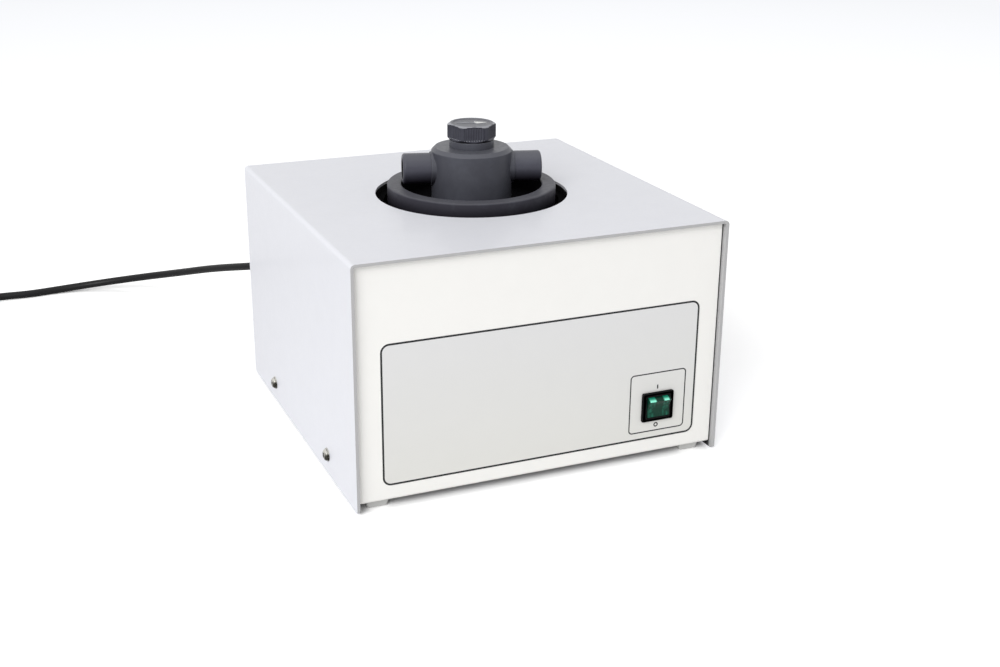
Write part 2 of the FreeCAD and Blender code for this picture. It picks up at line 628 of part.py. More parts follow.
def make_switch_terminals():
    """Four push-on blades at the back of the switch."""
    blade = Part.makeBox(S.terminal_thick, S.terminal_long, S.terminal_wide)
    back = -label_face + S.switch_depth
    blade.translate(Vector(-S.terminal_thick / 2, 0, -S.terminal_wide / 2))
    group_of("switch_terminals", blade, [
        at(S.switch_x + S.terminal_pitch_x / 2 * side, back, S.switch_z + S.terminal_pitch_z / 2 * end)
        for side, end in SCREW_SIDES])


def make_canister_head():
    """The canister's moulded head: its rim, skirt and trough."""
    rim_under = rim_top - S.rim_thick
    trough_outside = S.rim_inner + S.trough_wall
    skirt_inside = S.shell_radius + S.skirt_play
    skirt_low = rim_top - S.rim_skirt
    body = turned("canister_head", [
        (S.chamber_radius, trough_under), (trough_outside, trough_under), (trough_outside, rim_under),
        (skirt_inside, rim_under), (skirt_inside, skirt_low), (S.rim_radius, skirt_low),
        (S.rim_radius, rim_top), (S.rim_inner, rim_top), (S.rim_inner, trough_top),
        (S.chamber_radius, trough_top)])
    dress(body, "Chamfer", S.rim_chamfer,
          lambda e: circle_at(e, S.rim_radius, rim_top) or circle_at(e, S.rim_inner, rim_top))


def make_valve_body():
    """The central boss on the trough, with the valve's chamber and the two port collars."""
    body = turned("valve_body", [
        (0, trough_top), (S.boss_radius, trough_top), (S.boss_radius, boss_top), (0, boss_top)])
    dress(body, "Chamfer", S.boss_chamfer, lambda e: circle_at(e, S.boss_radius, boss_top))
    collars = new_sketch(body, "YZ_Plane")
    draw_circle(collars, 0, port_level, S.collar_radius)
    extrude(body, "Pad", collars, S.collar_reach * 2, "Symmetric")
    dress(body, "Chamfer", S.collar_chamfer,
          lambda e: any(circle_at(e, S.collar_radius, S.collar_reach * side, "x") for side in (-1, 1)))
    chamber = new_sketch(body, "XZ_Plane")
    spindle = S.stem_radius + S.stem_play
    draw_outline(chamber, [
        (0, trough_top), (S.chamber_radius, trough_top), (S.chamber_radius, chamber_top),
        (spindle, chamber_top), (spindle, boss_top), (0, boss_top)])
    turn(body, "Groove", chamber)
    sockets = new_sketch(body, "YZ_Plane")
    draw_circle(sockets, 0, port_level, S.port_radius + S.socket_play)
    extrude(body, "Pocket", sockets, S.collar_reach * 2 + S.through_cut, "Symmetric")
    turn_with_ports(body)


def make_ports():
    """The two 22 mm port tubes, pressed in the head's collars."""
    for label, side in (("right_port", 1), ("left_port", -1)):
        body = new_body(label)
        section = new_sketch(body, "XZ_Plane")
        start, end = S.port_inner_end * side, S.port_reach * side
        low, high = port_level + S.port_bore, port_level + S.port_radius
        draw_outline(section, [(start, low), (end, low), (end, high), (start, high)])
        axis = section.addGeometry(Part.LineSegment(Vector(0, port_level, 0), Vector(end, port_level, 0)), True)
        hold(section, axis, 1, 0, port_level)
        hold(section, axis, 2, end, port_level)
        turn(body, "Revolution", section, "Axis0")
        dress(body, "Fillet", S.port_round, lambda e: circle_at(e, S.port_radius, end, "x"))
        dress(body, "Fillet", S.port_round / 4, lambda e: circle_at(e, S.port_bore, end, "x"))
        turn_with_ports(body)


def make_canister_body():
    """The canister's can with the charcoal, held between felts and slotted grids."""
    bore = S.shell_radius - S.shell_wall
    low = shell_bottom
    top = rim_top - S.rim_thick - S.shell_top_gap
    lip = S.shell_radius - S.shell_lip
    turned("canister_shell", [
        (lip, low), (S.shell_radius, low), (S.shell_radius, top), (bore, top),
        (bore, low + S.shell_wall), (lip, low + S.shell_wall)])
    turned("head_seal", [
        (bore, top + S.head_seal_gap), (S.shell_radius, top + S.head_seal_gap),
        (S.shell_radius, rim_top - S.rim_thick - S.head_seal_gap), (bore, rim_top - S.rim_thick - S.head_seal_gap)])
    filling = bore - S.bed_play
    level = low + S.shell_wall
    lower_grid_top = level + S.grid_thick
    lower_felt_top = lower_grid_top + S.felt_thick
    upper_felt_top = trough_under - S.grid_stand
    bed_top = upper_felt_top - S.felt_thick
    upper_grid_top = upper_felt_top + S.grid_thick
    turned("lower_felt", [(0, lower_grid_top), (filling, lower_grid_top), (filling, lower_felt_top),
                          (0, lower_felt_top)])
    turned("charcoal_bed", [(0, lower_felt_top), (filling, lower_felt_top), (filling, bed_top), (0, bed_top)])
    turned("upper_felt", [(0, bed_top), (filling, bed_top), (filling, upper_felt_top), (0, upper_felt_top)])
    make_grid("lower_grid", [(0, level), (filling, level), (filling, lower_grid_top), (0, lower_grid_top)],
              level)
    rim = filling - S.grid_rim
    make_grid("upper_grid", [(0, upper_felt_top), (filling, upper_felt_top), (filling, trough_under),
                             (rim, trough_under), (rim, upper_grid_top), (0, upper_grid_top)], upper_felt_top)


def make_grid(label, corners, level):
    """A disc with a ring of radial slots."""
    body = turned(label, corners)
    slot = new_sketch(body, "XY_Plane", level)
    length = S.grid_slot_end - S.grid_slot_start
    draw_rectangle(slot, S.grid_slot_start + length / 2, 0, length, S.grid_slot_width)
    cut = extrude(body, "Pocket", slot, S.grid_thick * 2, reverse=True)
    ring = body.newObject("PartDesign::PolarPattern", "Slots_" + label)
    ring.Originals = [cut]
    ring.Axis = (slot, ["N_Axis"])
    ring.Angle = 360
    bind(ring, "Occurrences", S.grid_slot_count)
    body.Tip = ring


def make_selector():
    """The valve plug with its window, its retainer and seal, the neck and the ribbed knob."""
    plug_low = trough_under + S.retainer_thick + S.valve_gap
    plug_high = chamber_top - S.stem_seal_thick - S.valve_gap
    inner = S.plug_radius - S.plug_wall
    stem_top = knob_base + S.knob_socket - S.valve_gap
    plug = turned("valve_plug", [
        (inner, plug_low), (S.plug_radius, plug_low), (S.plug_radius, plug_high), (S.stem_radius, plug_high),
        (S.stem_radius, stem_top), (0, stem_top), (0, plug_high - S.plug_wall), (inner, plug_high - S.plug_wall)])
    window = new_sketch(plug, "YZ_Plane")
    draw_circle(window, 0, port_level, S.window_radius)
    extrude(plug, "Pocket", window, S.plug_radius + S.plug_wall, reverse=True)
    turn_with_ports(plug)
    turned("valve_retainer", [
        (S.retainer_inner, trough_under), (S.chamber_radius - S.socket_play, trough_under),
        (S.chamber_radius - S.socket_play, trough_under + S.retainer_thick),
        (S.retainer_inner, trough_under + S.retainer_thick)])
    seal_low = chamber_top - S.stem_seal_thick
    seal_bore = S.stem_radius + S.stem_play
    turned("spindle_seal", [(seal_bore, seal_low), (S.stem_seal_radius, seal_low),
                            (S.stem_seal_radius, chamber_top), (seal_bore, chamber_top)])
    turned("knob_collar", [(seal_bore, boss_top), (S.neck_radius, boss_top), (S.neck_radius, neck_top),
                           (seal_bore, neck_top)])
    make_knob()


def make_knob():
    """The selector knob: six ribbed flats, bevelled edges and a shallow dish for its mark."""
    radius, bevel = S.knob_radius, S.knob_chamfer
    recess_level = knob_top - S.knob_recess
    blank = revolved((0, 0, knob_base), [
        (radius - bevel, 0, knob_base), (radius, 0, knob_base + bevel), (radius, 0, knob_top - bevel),
        (radius - bevel, 0, knob_top), (0, 0, knob_top)])
    knob = hex_prism(S.knob_flats, S.knob_height, knob_base).common(blank)
    ribs = []
    apothem = S.knob_flats / 2
    groove = S.rib_pitch - S.rib_width
    for flat in range(6):
        for index in range(int(S.rib_count)):
            offset = (index - (S.rib_count - 1) / 2) * S.rib_pitch
            box = Part.makeBox(radius - apothem + S.rib_depth, groove, S.knob_height - 2 * bevel)
            box.translate(Vector(apothem - S.rib_depth, offset - groove / 2, knob_base + bevel))
            box.rotate(Vector(0, 0, 0), UP, 30 + 60 * flat)
            ribs.append(box)
    knob = knob.cut(Part.Compound(ribs))
    knob = knob.cut(Part.makeCylinder(S.knob_recess_radius, S.knob_recess, Vector(0, 0, recess_level)))
    knob = knob.cut(Part.makeCylinder(S.stem_radius + S.bearing_play, S.knob_socket, Vector(0, 0, knob_base)))
    turn_with_ports(feature_of("selector_knob", knob))
    start = -S.mark_length / 2
    tip = S.mark_length / 2
    neck = tip - S.mark_head
    half_line, half_head = S.mark_line / 2, S.mark_head_wide / 2
    mark = [Vector(x, y, recess_level) for x, y in (
        (start, -half_line), (neck, -half_line), (neck, -half_head), (tip, 0), (neck, half_head),
        (neck, half_line), (start, half_line), (start, -half_line))]
    turn_with_ports(feature_of("pointer_mark", Part.Face(Part.makePolygon(mark)).extrude(
        Vector(0, 0, S.mark_thick))))


def make_well():
    """The well round the canister, its gasket under the cover and the seal that the canister stands on."""
    outside = S.well_radius + S.well_wall
    well = turned("canister_well", [
        (S.well_floor_hole, well_base), (S.well_foot, well_base), (S.well_foot, well_floor_top),
        (outside, well_floor_top), (outside, well_top - S.well_wall), (S.well_flange, well_top - S.well_wall),
        (S.well_flange, well_top), (S.well_radius, well_top), (S.well_radius, well_floor_top),
        (S.well_floor_hole, well_floor_top)])
    holes = new_sketch(well, "XY_Plane", well_base)
    for x, y in well_screw_places:
        draw_circle(holes, x, y, S.small_shank + S.hole_play)
    extrude(well, "Pocket", holes, S.well_wall * 2, reverse=True)
    turned("well_gasket", [(S.gasket_inner, well_top), (S.well_flange, well_top),
                           (S.well_flange, under_cover), (S.gasket_inner, under_cover)])
    turned("seal_ring", [(S.seal_inner, well_floor_top), (S.seal_outer, well_floor_top),
                         (S.seal_outer, shell_bottom), (S.seal_inner, shell_bottom)])
    screw = pan_screw(S.small_shank, S.small_head, S.small_head_high,
                      S.well_wall + S.fan_cover_thick + S.screw_end)
    group_of("well_screws", screw, [at(x, y, well_floor_top) for x, y in well_screw_places])


def scroll_outline(grow, end, level):
    """The scroll's outline, three quarter arcs of growing radius and a straight duct to the rear."""
    step = S.scroll_step
    first, second, third = (S.scroll_radius + step * k + grow for k in range(3))
    tongue = math.radians(S.tongue_angle)
    half_way = (tongue + math.pi) / 2
    slant = math.sqrt(0.5)
    tongue_x = S.scroll_radius * math.cos(tongue) - grow
    tongue_y = math.sqrt(first ** 2 - tongue_x ** 2)
    duct_x = step + third
    return wire_of((tongue_x, tongue_y, level), [
        ((first * math.cos(half_way), first * math.sin(half_way), level), (-first, 0, level)),
        ((step - second * slant, -second * slant, level), (step, -second, level)),
        ((step + third * slant, step - third * slant, level), (duct_x, step, level)),
        (duct_x, end, level), (tongue_x, end, level)])


def ear_places():
    """Centres of the ears that carry the fan cover's screws."""
    step = S.scroll_step
    out = S.scroll_wall + S.ear_offset
    slant = math.sqrt(0.5)
    left_rear = (S.scroll_radius + out) * slant
    left_front = S.scroll_radius + step + out
    right_front = S.scroll_radius + 2 * step + out
    duct_right = S.scroll_radius + 3 * step + out
    tongue_x = S.scroll_radius * math.cos(math.radians(S.tongue_angle)) - out
    return [(-left_rear, left_rear), (step - left_front * slant, -left_front * slant),
            (step + right_front * slant, step - right_front * slant),
            (duct_right, S.scroll_radius), (tongue_x, S.scroll_radius + 3 * step)]


def make_fan_housing():
    """The fan's scroll and its lid with the inlet ring, screwed through five ears."""
    duct_end = panel_inside - (S.tray_bend - S.chassis_sheet) - S.duct_gap
    through = S.through_cut
    thread = S.scroll_height / 4
    ears = ear_places()
    up = Vector(0, 0, S.scroll_height)
    solid = Part.Face(scroll_outline(S.scroll_wall, duct_end, floor_top)).extrude(up)
    for x, y in ears:
        solid = solid.fuse(Part.makeCylinder(S.ear_radius, S.scroll_height, Vector(x, y, floor_top)))
    hollow = Part.Face(scroll_outline(0.0, panel_inside + through, scroll_floor_top)).extrude(up)
    scroll = solid.cut(hollow)
    for x, y in ears:
        scroll = scroll.cut(Part.makeCylinder(S.small_shank + S.screw_play, thread, Vector(x, y, scroll_top - thread)))
    for x, y in motor_screw_places:
        scroll = scroll.cut(Part.makeCylinder(S.large_shank + S.hole_play, S.scroll_floor, Vector(x, y, floor_top)))
    feature_of("fan_volute", scroll)

    lid_up = Vector(0, 0, S.fan_cover_thick)
    lid = Part.Face(scroll_outline(S.scroll_wall, duct_end, scroll_top)).extrude(lid_up)
    for x, y in ears:
        lid = lid.fuse(Part.makeCylinder(S.ear_radius, S.fan_cover_thick, Vector(x, y, scroll_top)))
    lip_low = scroll_top - S.inlet_lip_drop
    mouth = S.inlet_radius + S.inlet_lip
    lid = lid.cut(Part.makeCylinder(S.inlet_radius, S.fan_cover_thick, Vector(0, 0, scroll_top)))
    lip = revolved((S.inlet_radius, 0, well_base), [
        (S.inlet_radius, 0, lip_low), (mouth, 0, lip_low), (mouth, 0, well_base)])
    lid = lid.fuse(lip)
    for x, y in ears:
        lid = lid.cut(Part.makeCylinder(S.small_shank + S.hole_play, S.fan_cover_thick, Vector(x, y, scroll_top)))
    for x, y in well_screw_places:
        lid = lid.cut(Part.makeCylinder(S.small_shank + S.screw_play, S.fan_cover_thick, Vector(x, y, scroll_top)))
    feature_of("fan_cover", lid.removeSplitter())
    screw = pan_screw(S.small_shank, S.small_head, S.small_head_high,
                      S.fan_cover_thick + thread - S.screw_end)
    group_of("fan_cover_screws", screw, [at(x, y, well_base) for x, y in ears])


def make_impeller():
    """The fan wheel: a back plate, backward curved blades and a tapered shroud round its inlet."""
    back, top = floor_top + S.wheel_back_rise, scroll_top - S.shroud_top_drop
    plate_top = back + S.wheel_back_thick
    plate = revolved((S.wheel_hub_radius + S.bearing_play, 0, back), [
        (S.wheel_radius, 0, back), (S.wheel_radius, 0, plate_top),
        (S.wheel_hub_radius + S.bearing_play, 0, plate_top)])
    edge, thick, inlet = scroll_top - S.shroud_edge_drop, S.shroud_thick, S.shroud_inlet
    waist_radius = inlet + (S.wheel_radius - inlet) * S.waist_along
    waist = edge + (top - edge) * S.waist_rise
    shroud = revolved((S.wheel_radius, 0, edge), [
        (S.wheel_radius, 0, edge + thick), (waist_radius, 0, waist + thick),
        ((inlet + thick * 1.6, 0, waist + thick * 2.1), (inlet + thick, 0, top)), (inlet, 0, top),
        ((inlet + thick * 0.5, 0, waist + thick), (waist_radius - thick * 0.3, 0, waist))])
    room = revolved((S.blade_inner - S.blade_lead, 0, plate_top - thick / 4), [
        (S.wheel_radius, 0, plate_top - thick / 4), (S.wheel_radius, 0, edge + thick / 2),
        (waist_radius, 0, waist + thick / 2), (S.blade_inner - S.blade_lead, 0, waist + thick / 2)])
    points = [polar(S.blade_inner, 0), polar(S.blade_middle, -S.blade_middle_angle),
              polar(S.wheel_radius, -S.blade_outer_angle)]
    centre = Part.ArcOfCircle(*[Vector(x, y, 0) for x, y in points]).Center

    def shifted(point, by):
        spoke = Vector(point[0], point[1], 0) - centre
        moved = centre + spoke * ((spoke.Length + by) / spoke.Length)
        return (moved.x, moved.y, back)

    half = S.blade_thick / 2
    outer = [shifted(point, half) for point in points]
    inner = [shifted(point, -half) for point in points]
    blade = Part.Face(wire_of(outer[0], [(outer[1], outer[2]), inner[2], (inner[1], inner[0])]))
    blade = blade.extrude(Vector(0, 0, top - back)).common(room)
    wheel = plate.fuse(shroud)
    blades = []
    for index in range(int(S.blade_count)):
        copy = blade.copy()
        copy.rotate(Vector(0, 0, 0), UP, 360.0 * index / S.blade_count)
        blades.append(copy)
    feature_of("impeller", wheel.fuse(blades).removeSplitter())


def polar(radius, degrees):
    angle = math.radians(degrees)
    return (radius * math.cos(angle), radius * math.sin(angle))


def make_motor():
    """The external rotor motor in the wheel's hub, its bearings in the flange's tube."""
    hub = S.wheel_hub_radius
    bell = hub - S.rotor_wall
    low, high = floor_top + S.rotor_bottom_rise, scroll_top - S.rotor_top_drop
    hub_boss = S.shaft_radius + S.rotor_wall
    rotor = turned("fan_rotor", [
        (bell, low), (hub, low), (hub, high), (S.shaft_radius, high), (S.shaft_radius, high - S.rotor_wall * 2),
        (hub_boss, high - S.rotor_wall * 2), (hub_boss, high - S.rotor_wall), (bell, high - S.rotor_wall)])
    dress(rotor, "Fillet", S.rotor_wall, lambda e: circle_at(e, hub, high))
    flange_low = scroll_floor_top
    flange_high = flange_low + S.flange_thick
    tube_high = stator_low + S.stator_length
    bearing_seat = S.bearing_radius + S.bearing_play
    flange = turned("motor_flange", [
        (0, flange_low), (S.flange_radius, flange_low), (S.flange_radius, flange_high),
        (S.bearing_tube_radius, flange_high), (S.bearing_tube_radius, tube_high), (bearing_seat, tube_high),
        (bearing_seat, flange_low + S.bearing_gap), (0, flange_low + S.bearing_gap)])
    holes = new_sketch(flange, "XY_Plane", flange_low)
    for x, y in motor_screw_places:
        draw_circle(holes, x, y, S.large_shank + S.screw_play)
    extrude(flange, "Pocket", holes, S.flange_thick * 2, reverse=True)
    shaft = doc.addObject("Part::Cylinder", "Part_motor_shaft")
    shaft.Label = "motor_shaft"
    bind(shaft, "Radius", S.shaft_radius)
    bind(shaft, "Height", high - flange_low - S.shaft_gap)
    place(shaft, z=flange_low + S.shaft_gap)
    sub_parts.append(shaft)
    ring = Part.makeCylinder(S.bearing_radius, S.bearing_length).cut(
        Part.makeCylinder(S.shaft_radius + S.bearing_play, S.bearing_length))
    group_of("motor_bearings", ring, [at(0, 0, flange_high + S.bearing_gap),
                                      at(0, 0, tube_high - S.bearing_length - S.bearing_gap)])
    make_stator(bell - S.air_gap)
    screw = pan_screw(S.large_shank, S.large_head, S.large_head_high, flange_high - S.foot_height - S.screw_end / 4)
    group_of("motor_screws", screw, [at(x, y, S.foot_height, -UP) for x, y in motor_screw_places])


def make_stator(radius):
    """The wound stator: a stack with open slots between its poles."""
    stack = Part.makeCylinder(radius, S.stator_length, Vector(0, 0, stator_low))
    stack = stack.cut(Part.makeCylinder(S.bearing_tube_radius + S.bearing_play, S.stator_length,
                                        Vector(0, 0, stator_low)))
    depth = radius - S.bearing_tube_radius - S.stator_core
    for index in range(int(S.coil_count)):
        slot = Part.makeBox(depth, S.coil_slot, S.stator_length,
                            Vector(radius - depth + S.bearing_gap, -S.coil_slot / 2, stator_low))
        slot.rotate(Vector(0, 0, 0), UP, 360.0 * index / S.coil_count)
        stack = stack.cut(slot)
    feature_of("motor_stator", stack)


def make_gland():
    """The mains gland in the rear panel, its nut and the tapered strain relief."""
    gland = turned("gland_body", [
        (panel_face - S.gland_barrel_long, 0), (panel_face - S.gland_barrel_long, S.gland_barrel),
        (panel_face, S.gland_barrel), (panel_face, S.gland_flange_radius), (rear_end - S.gland_bevel, S.gland_flange_radius),
        (rear_end, S.gland_flange_radius - S.gland_bevel), (rear_end, 0)], "YZ_Plane", "H_Axis")
    place(gland, S.gland_x, 0, S.gland_z)
    nut = hex_nut(S.gland_nut_wide, S.gland_nut_high, S.gland_barrel + S.screw_play)
    group_of("gland_nut", nut, [at(S.gland_x, panel_inside - S.gland_nut_high, S.gland_z, BACK)])
    rings = int(S.relief_rings)
    pitch = S.relief_long / (rings + 0.5)
    taper = (S.relief_root - S.relief_tip) / S.relief_long
    corners = [(rear_end, 0), (rear_end, S.relief_root)]
    for index in range(rings):
        start = pitch * (index + 0.5)
        end = start + pitch * 0.4
        for along, deep in ((start, 0), (start, 1), (end, 1), (end, 0)):
            corners.append((rear_end + along, S.relief_root - taper * along - S.relief_groove * deep))
    corners += [(relief_end, S.relief_tip), (relief_end, 0)]
    relief = turned("strain_relief", corners, "YZ_Plane", "H_Axis")
    place(relief, S.gland_x, 0, S.gland_z)


def make_electrics():
    """Terminal block, earth stud, capacitor with its clamp, and the leads between them."""
    block = Part.makeBox(S.block_length, S.block_width, S.block_height,
                         Vector(block_x - S.block_length / 2, block_y - S.block_width / 2, floor_top))
    pitch = S.block_length / S.block_ways
    for way in range(int(S.block_ways)):
        x = block_x + (way - (S.block_ways - 1) / 2) * pitch
        for side in (-1, 1):
            y = block_y + side * S.block_width / 4
            block = block.cut(Part.makeCylinder(
                S.block_well, S.block_well_deep, Vector(x, y, floor_top + S.block_height - S.block_well_deep)))
    feature_of("terminal_block", block)

    stud = Part.makeCylinder(S.large_shank, S.earth_long, Vector(earth_x, S.earth_y, S.foot_height))
    feature_of("earth_stud", stud)
    nut = hex_nut(S.large_nut, S.large_nut_high, S.large_shank + S.screw_play)
    group_of("earth_nuts", nut, [at(earth_x, S.earth_y, floor_top + level)
                                 for level in (0, S.large_nut_high + S.earth_tag)])

    radius, length = S.capacitor_radius, S.capacitor_length
    start = capacitor_y - length / 2
    can = revolved((0, start, 0), [
        (radius - S.capacitor_cap, start, 0), (radius, start + S.capacitor_cap, 0), (radius, start + length, 0),
        (0, start + length, 0)], axis=BACK)
    can.translate(Vector(capacitor_x, 0, floor_top + radius))
    feature_of("capacitor", can)
    make_clamp()
    screw = pan_screw(S.small_shank, S.small_head, S.small_head_high, S.chassis_sheet + S.clamp_sheet + S.screw_end)
    group_of("clamp_screws", screw, [at(x, y, floor_top + S.clamp_sheet) for x, y in floor_screw_places])

    feature_of("supply_lead", tube_along(supply_route, S.lead_radius)[0])
    feature_of("switch_loom", tube_along(loom_route, S.loom_radius)[0])


def make_clamp():
    """The saddle over the capacitor, a bent strip with two feet."""
    inner = S.capacitor_radius + S.clamp_gap
    outer = inner + S.clamp_sheet
    axis_level = floor_top + S.capacitor_radius
    x, y = capacitor_x, capacitor_y - S.clamp_width / 2
    foot = outer + S.clamp_foot
    foot_level = floor_top + S.clamp_sheet
    strip = Part.Face(wire_of((x - foot, y, floor_top), [
        (x - inner, y, floor_top), (x - inner, y, axis_level),
        ((x, y, axis_level + inner), (x + inner, y, axis_level)), (x + inner, y, floor_top),
        (x + foot, y, floor_top), (x + foot, y, foot_level), (x + outer, y, foot_level),
        (x + outer, y, axis_level), ((x, y, axis_level + outer), (x - outer, y, axis_level)),
        (x - outer, y, foot_level), (x - foot, y, foot_level)]))
    clamp = strip.extrude(Vector(0, S.clamp_width, 0))
    for screw_x, screw_y in floor_screw_places:
        clamp = clamp.cut(Part.makeCylinder(S.small_shank + S.hole_play, S.clamp_sheet,
                                            Vector(screw_x, screw_y, floor_top)))
    feature_of("capacitor_clamp", clamp)


def make_cord():
    """The mains lead: a tube along the bench, its put-away coil and its plug."""
    radius = S.cord_radius
    tube, length, radii = tube_along(CORD_ROUTE, radius)
    feature_of("mains_cord", tube)
    print("mains cord: %.1f mm, radii %s" % (length, ", ".join("%.0f" % item for item in radii)))
    print("volume against section times length: %.4f" % (tube.Volume / (math.pi * radius ** 2 * length)))

    half_wide = S.coil_turns_wide * radius
    low, high = S.coil_shave, S.coil_turns_high * radius * 2
    ring = revolved((S.coil_radius - half_wide, 0, low), [
        (S.coil_radius + half_wide, 0, low), (S.coil_radius + half_wide, 0, high - low),
        (S.coil_radius - half_wide, 0, high - low)])
    ring.translate(Vector(S.coil_x, S.coil_y, 0))
    end = CORD_ROUTE[-1]
    tail = S.coil_radius / 2
    inlet = Part.makeCylinder(radius, end[0] - S.coil_x - tail, Vector(S.coil_x + tail, end[1], end[2]), RIGHT)
    left = S.coil_x - S.coil_radius
    level = high - radius
    outlet = Part.makeCylinder(radius, S.plug_gap_y - tail, Vector(left, S.coil_y - tail, level), -BACK)
    feature_of("mains_cord_coil", ring.fuse([inlet, outlet]).removeSplitter())
    make_plug(left, S.coil_y - S.plug_gap_y, level)


def make_plug(x, y, level):
    """A moulded plug with two flat blades and a round earth pin, lying on the bench."""
    block = Part.makeBox(S.plug_width, S.plug_long, S.plug_height,
                         Vector(x - S.plug_width / 2, y - S.plug_relief_long - S.plug_long, 0))
    along = [edge for edge in block.Edges if near(edge.Length, S.plug_long)]
    block = block.makeFillet(S.plug_corner, along)
    relief = Part.makeCone(S.plug_relief_root, S.cord_radius + S.plug_relief_wall, S.plug_relief_long,
                           Vector(x, y - S.plug_relief_long, level), BACK)
    feature_of("plug_body", block.fuse(relief))
    face = y - S.plug_relief_long - S.plug_long
    blade = Part.makeBox(S.blade_flat, S.blade_long, S.blade_wide)
    blade.translate(Vector(-S.blade_flat / 2, -S.blade_long, -S.blade_wide / 2))
    pins = []
    for side in (-1, 1):
        copy = blade.copy()
        copy.translate(Vector(x + side * S.blade_pitch / 2, face, S.blade_level))
        pins.append(copy)
    pins.append(Part.makeCylinder(S.earth_pin_radius, S.earth_pin_long,
                                  Vector(x, face, S.blade_level + S.earth_pin_rise), -BACK))
    feature_of("plug_pins", Part.Compound(pins))


# Places that more than one piece uses

foot_places = [((cover_inside - S.foot_inset_x) * side, (half_depth - S.foot_inset_y) * end)
               for side, end in SCREW_SIDES]
motor_screw_places = [(S.motor_screw_circle * side * math.sqrt(0.5), S.motor_screw_circle * end * math.sqrt(0.5))
                      for side, end in SCREW_SIDES]
clamp_reach = S.capacitor_radius + S.clamp_gap + S.clamp_sheet + S.clamp_foot / 2
floor_screw_places = [(capacitor_x + clamp_reach * side, capacitor_y) for side in (-1, 1)]
well_screw_places = [(S.well_screw_circle * side * math.sqrt(0.5), S.well_screw_circle * end * math.sqrt(0.5))
                     for side, end in SCREW_SIDES]
duct_left = S.scroll_radius * math.cos(math.radians(S.tongue_angle))
duct_right = S.scroll_radius + S.scroll_step * 3
slot_row = S.slot_pitch * (S.slot_count - 1)
first_slot_x = duct_right / 2 + duct_left / 2 - slot_row / 2
slot_level = scroll_floor_top + S.slot_edge + S.slot_height / 2
block_end = block_x + S.block_length / 2
supply_route = [(block_end + x, block_y + y, z) for x, y, z in SUPPLY_ROUTE]
loom_route = ([(x - cover_inside, block_y + y, z) for x, y, z in LOOM_START]
              + [(x - cover_inside, y, z) for x, y, z in LOOM_SIDE]
              + [(x, y - switch_back, z) for x, y, z in LOOM_FRONT])

make_cover()
make_chassis()
make_front_label()
make_cover_fasteners()
make_feet()
make_switch()
make_rocker()
make_switch_terminals()
make_canister_head()
make_valve_body()
make_ports()
make_canister_body()
make_selector()
make_well()
make_fan_housing()
make_impeller()
make_motor()
make_gland()
make_electrics()
make_cord()

doc.recompute()
faults = ["%s is %s" % (item.Name, item.State) for item in doc.Objects
          if "Invalid" in item.State or "Error" in item.State]
for item in sub_parts:
    if item.Shape.isNull() or not item.Shape.isValid() or not item.Shape.Solids:
        faults.append("%s has no valid shape" % item.Label)
if faults:
    raise SystemExit("\n".join(faults))
os.makedirs("parts", exist_ok=True)
for item in sub_parts:
    item.Shape.exportStep("parts/%s.step" % item.Label)
print("%d sub-parts, %d solids" % (len(sub_parts), sum(len(item.Shape.Solids) for item in sub_parts)))
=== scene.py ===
"""Looks of the gas aspirator: materials, fine meshes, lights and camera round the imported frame.

Lengths in the tables and helpers are millimetres in the frame of the CAD; meshes are made in metres.
"""
import json
import math

import bmesh
import bpy
from mathutils import Matrix, Vector


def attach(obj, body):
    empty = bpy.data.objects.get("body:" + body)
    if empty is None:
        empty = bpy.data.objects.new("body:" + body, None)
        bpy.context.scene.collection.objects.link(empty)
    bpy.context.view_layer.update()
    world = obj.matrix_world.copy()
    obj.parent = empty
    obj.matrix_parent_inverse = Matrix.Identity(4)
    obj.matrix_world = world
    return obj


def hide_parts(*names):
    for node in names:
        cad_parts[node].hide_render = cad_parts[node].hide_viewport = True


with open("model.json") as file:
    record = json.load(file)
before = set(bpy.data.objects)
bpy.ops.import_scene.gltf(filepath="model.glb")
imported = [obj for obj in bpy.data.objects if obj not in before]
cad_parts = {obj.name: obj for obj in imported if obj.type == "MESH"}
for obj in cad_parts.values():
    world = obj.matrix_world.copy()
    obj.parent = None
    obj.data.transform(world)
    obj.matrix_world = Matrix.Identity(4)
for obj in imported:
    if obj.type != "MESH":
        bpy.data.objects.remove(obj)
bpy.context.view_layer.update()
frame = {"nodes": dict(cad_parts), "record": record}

MM = 0.001
PORT_TURN = math.radians(-15)
ON_PORTS = Matrix.Rotation(PORT_TURN, 4, "Z")
PORT_LEVEL = 187.2
BOSS_RADIUS = 28.5
BOSS_TOP = 202.5
KNOB_BASE = 207.8
KNOB_TOP = 219.6
KNOB_DISH = 219.0
KNOB_FLAT = 15.6
KNOB_ROUND = 17.15
LABEL_FACE = -128.9
SWITCH = (85.9, 40.8)
FLOOR_TONE = 1.45
WORLD_LIGHT = 0.5
EASED = {"cover": 0.3, "chassis": 0.25, "front_label": 0.08, "canister_shell": 0.4}


# Camera

def make_camera():
    """A camera where the photograph's stood, solved from the case's edges and round parts."""
    azimuth, elevation, roll = (math.radians(angle) for angle in (-23.48, 20.67, 0.546))
    back = Vector((math.sin(azimuth) * math.cos(elevation), -math.cos(azimuth) * math.cos(elevation),
                   math.sin(elevation)))
    level = Vector((math.cos(azimuth), math.sin(azimuth), 0))
    upward = back.cross(level)
    right = level * math.cos(roll) + upward * math.sin(roll)
    up = upward * math.cos(roll) - level * math.sin(roll)
    data = bpy.data.cameras.new("camera")
    data.lens = 50.52
    data.sensor_width = 36
    data.clip_start = 0.05
    camera = bpy.data.objects.new("camera", data)
    bpy.context.scene.collection.objects.link(camera)
    stand = Vector((-368.45, -901.80, 428.58)) * MM
    turn = Matrix((right, up, back)).transposed().to_4x4()
    camera.matrix_world = Matrix.Translation(stand) @ turn
    bpy.context.scene.camera = camera


# Materials

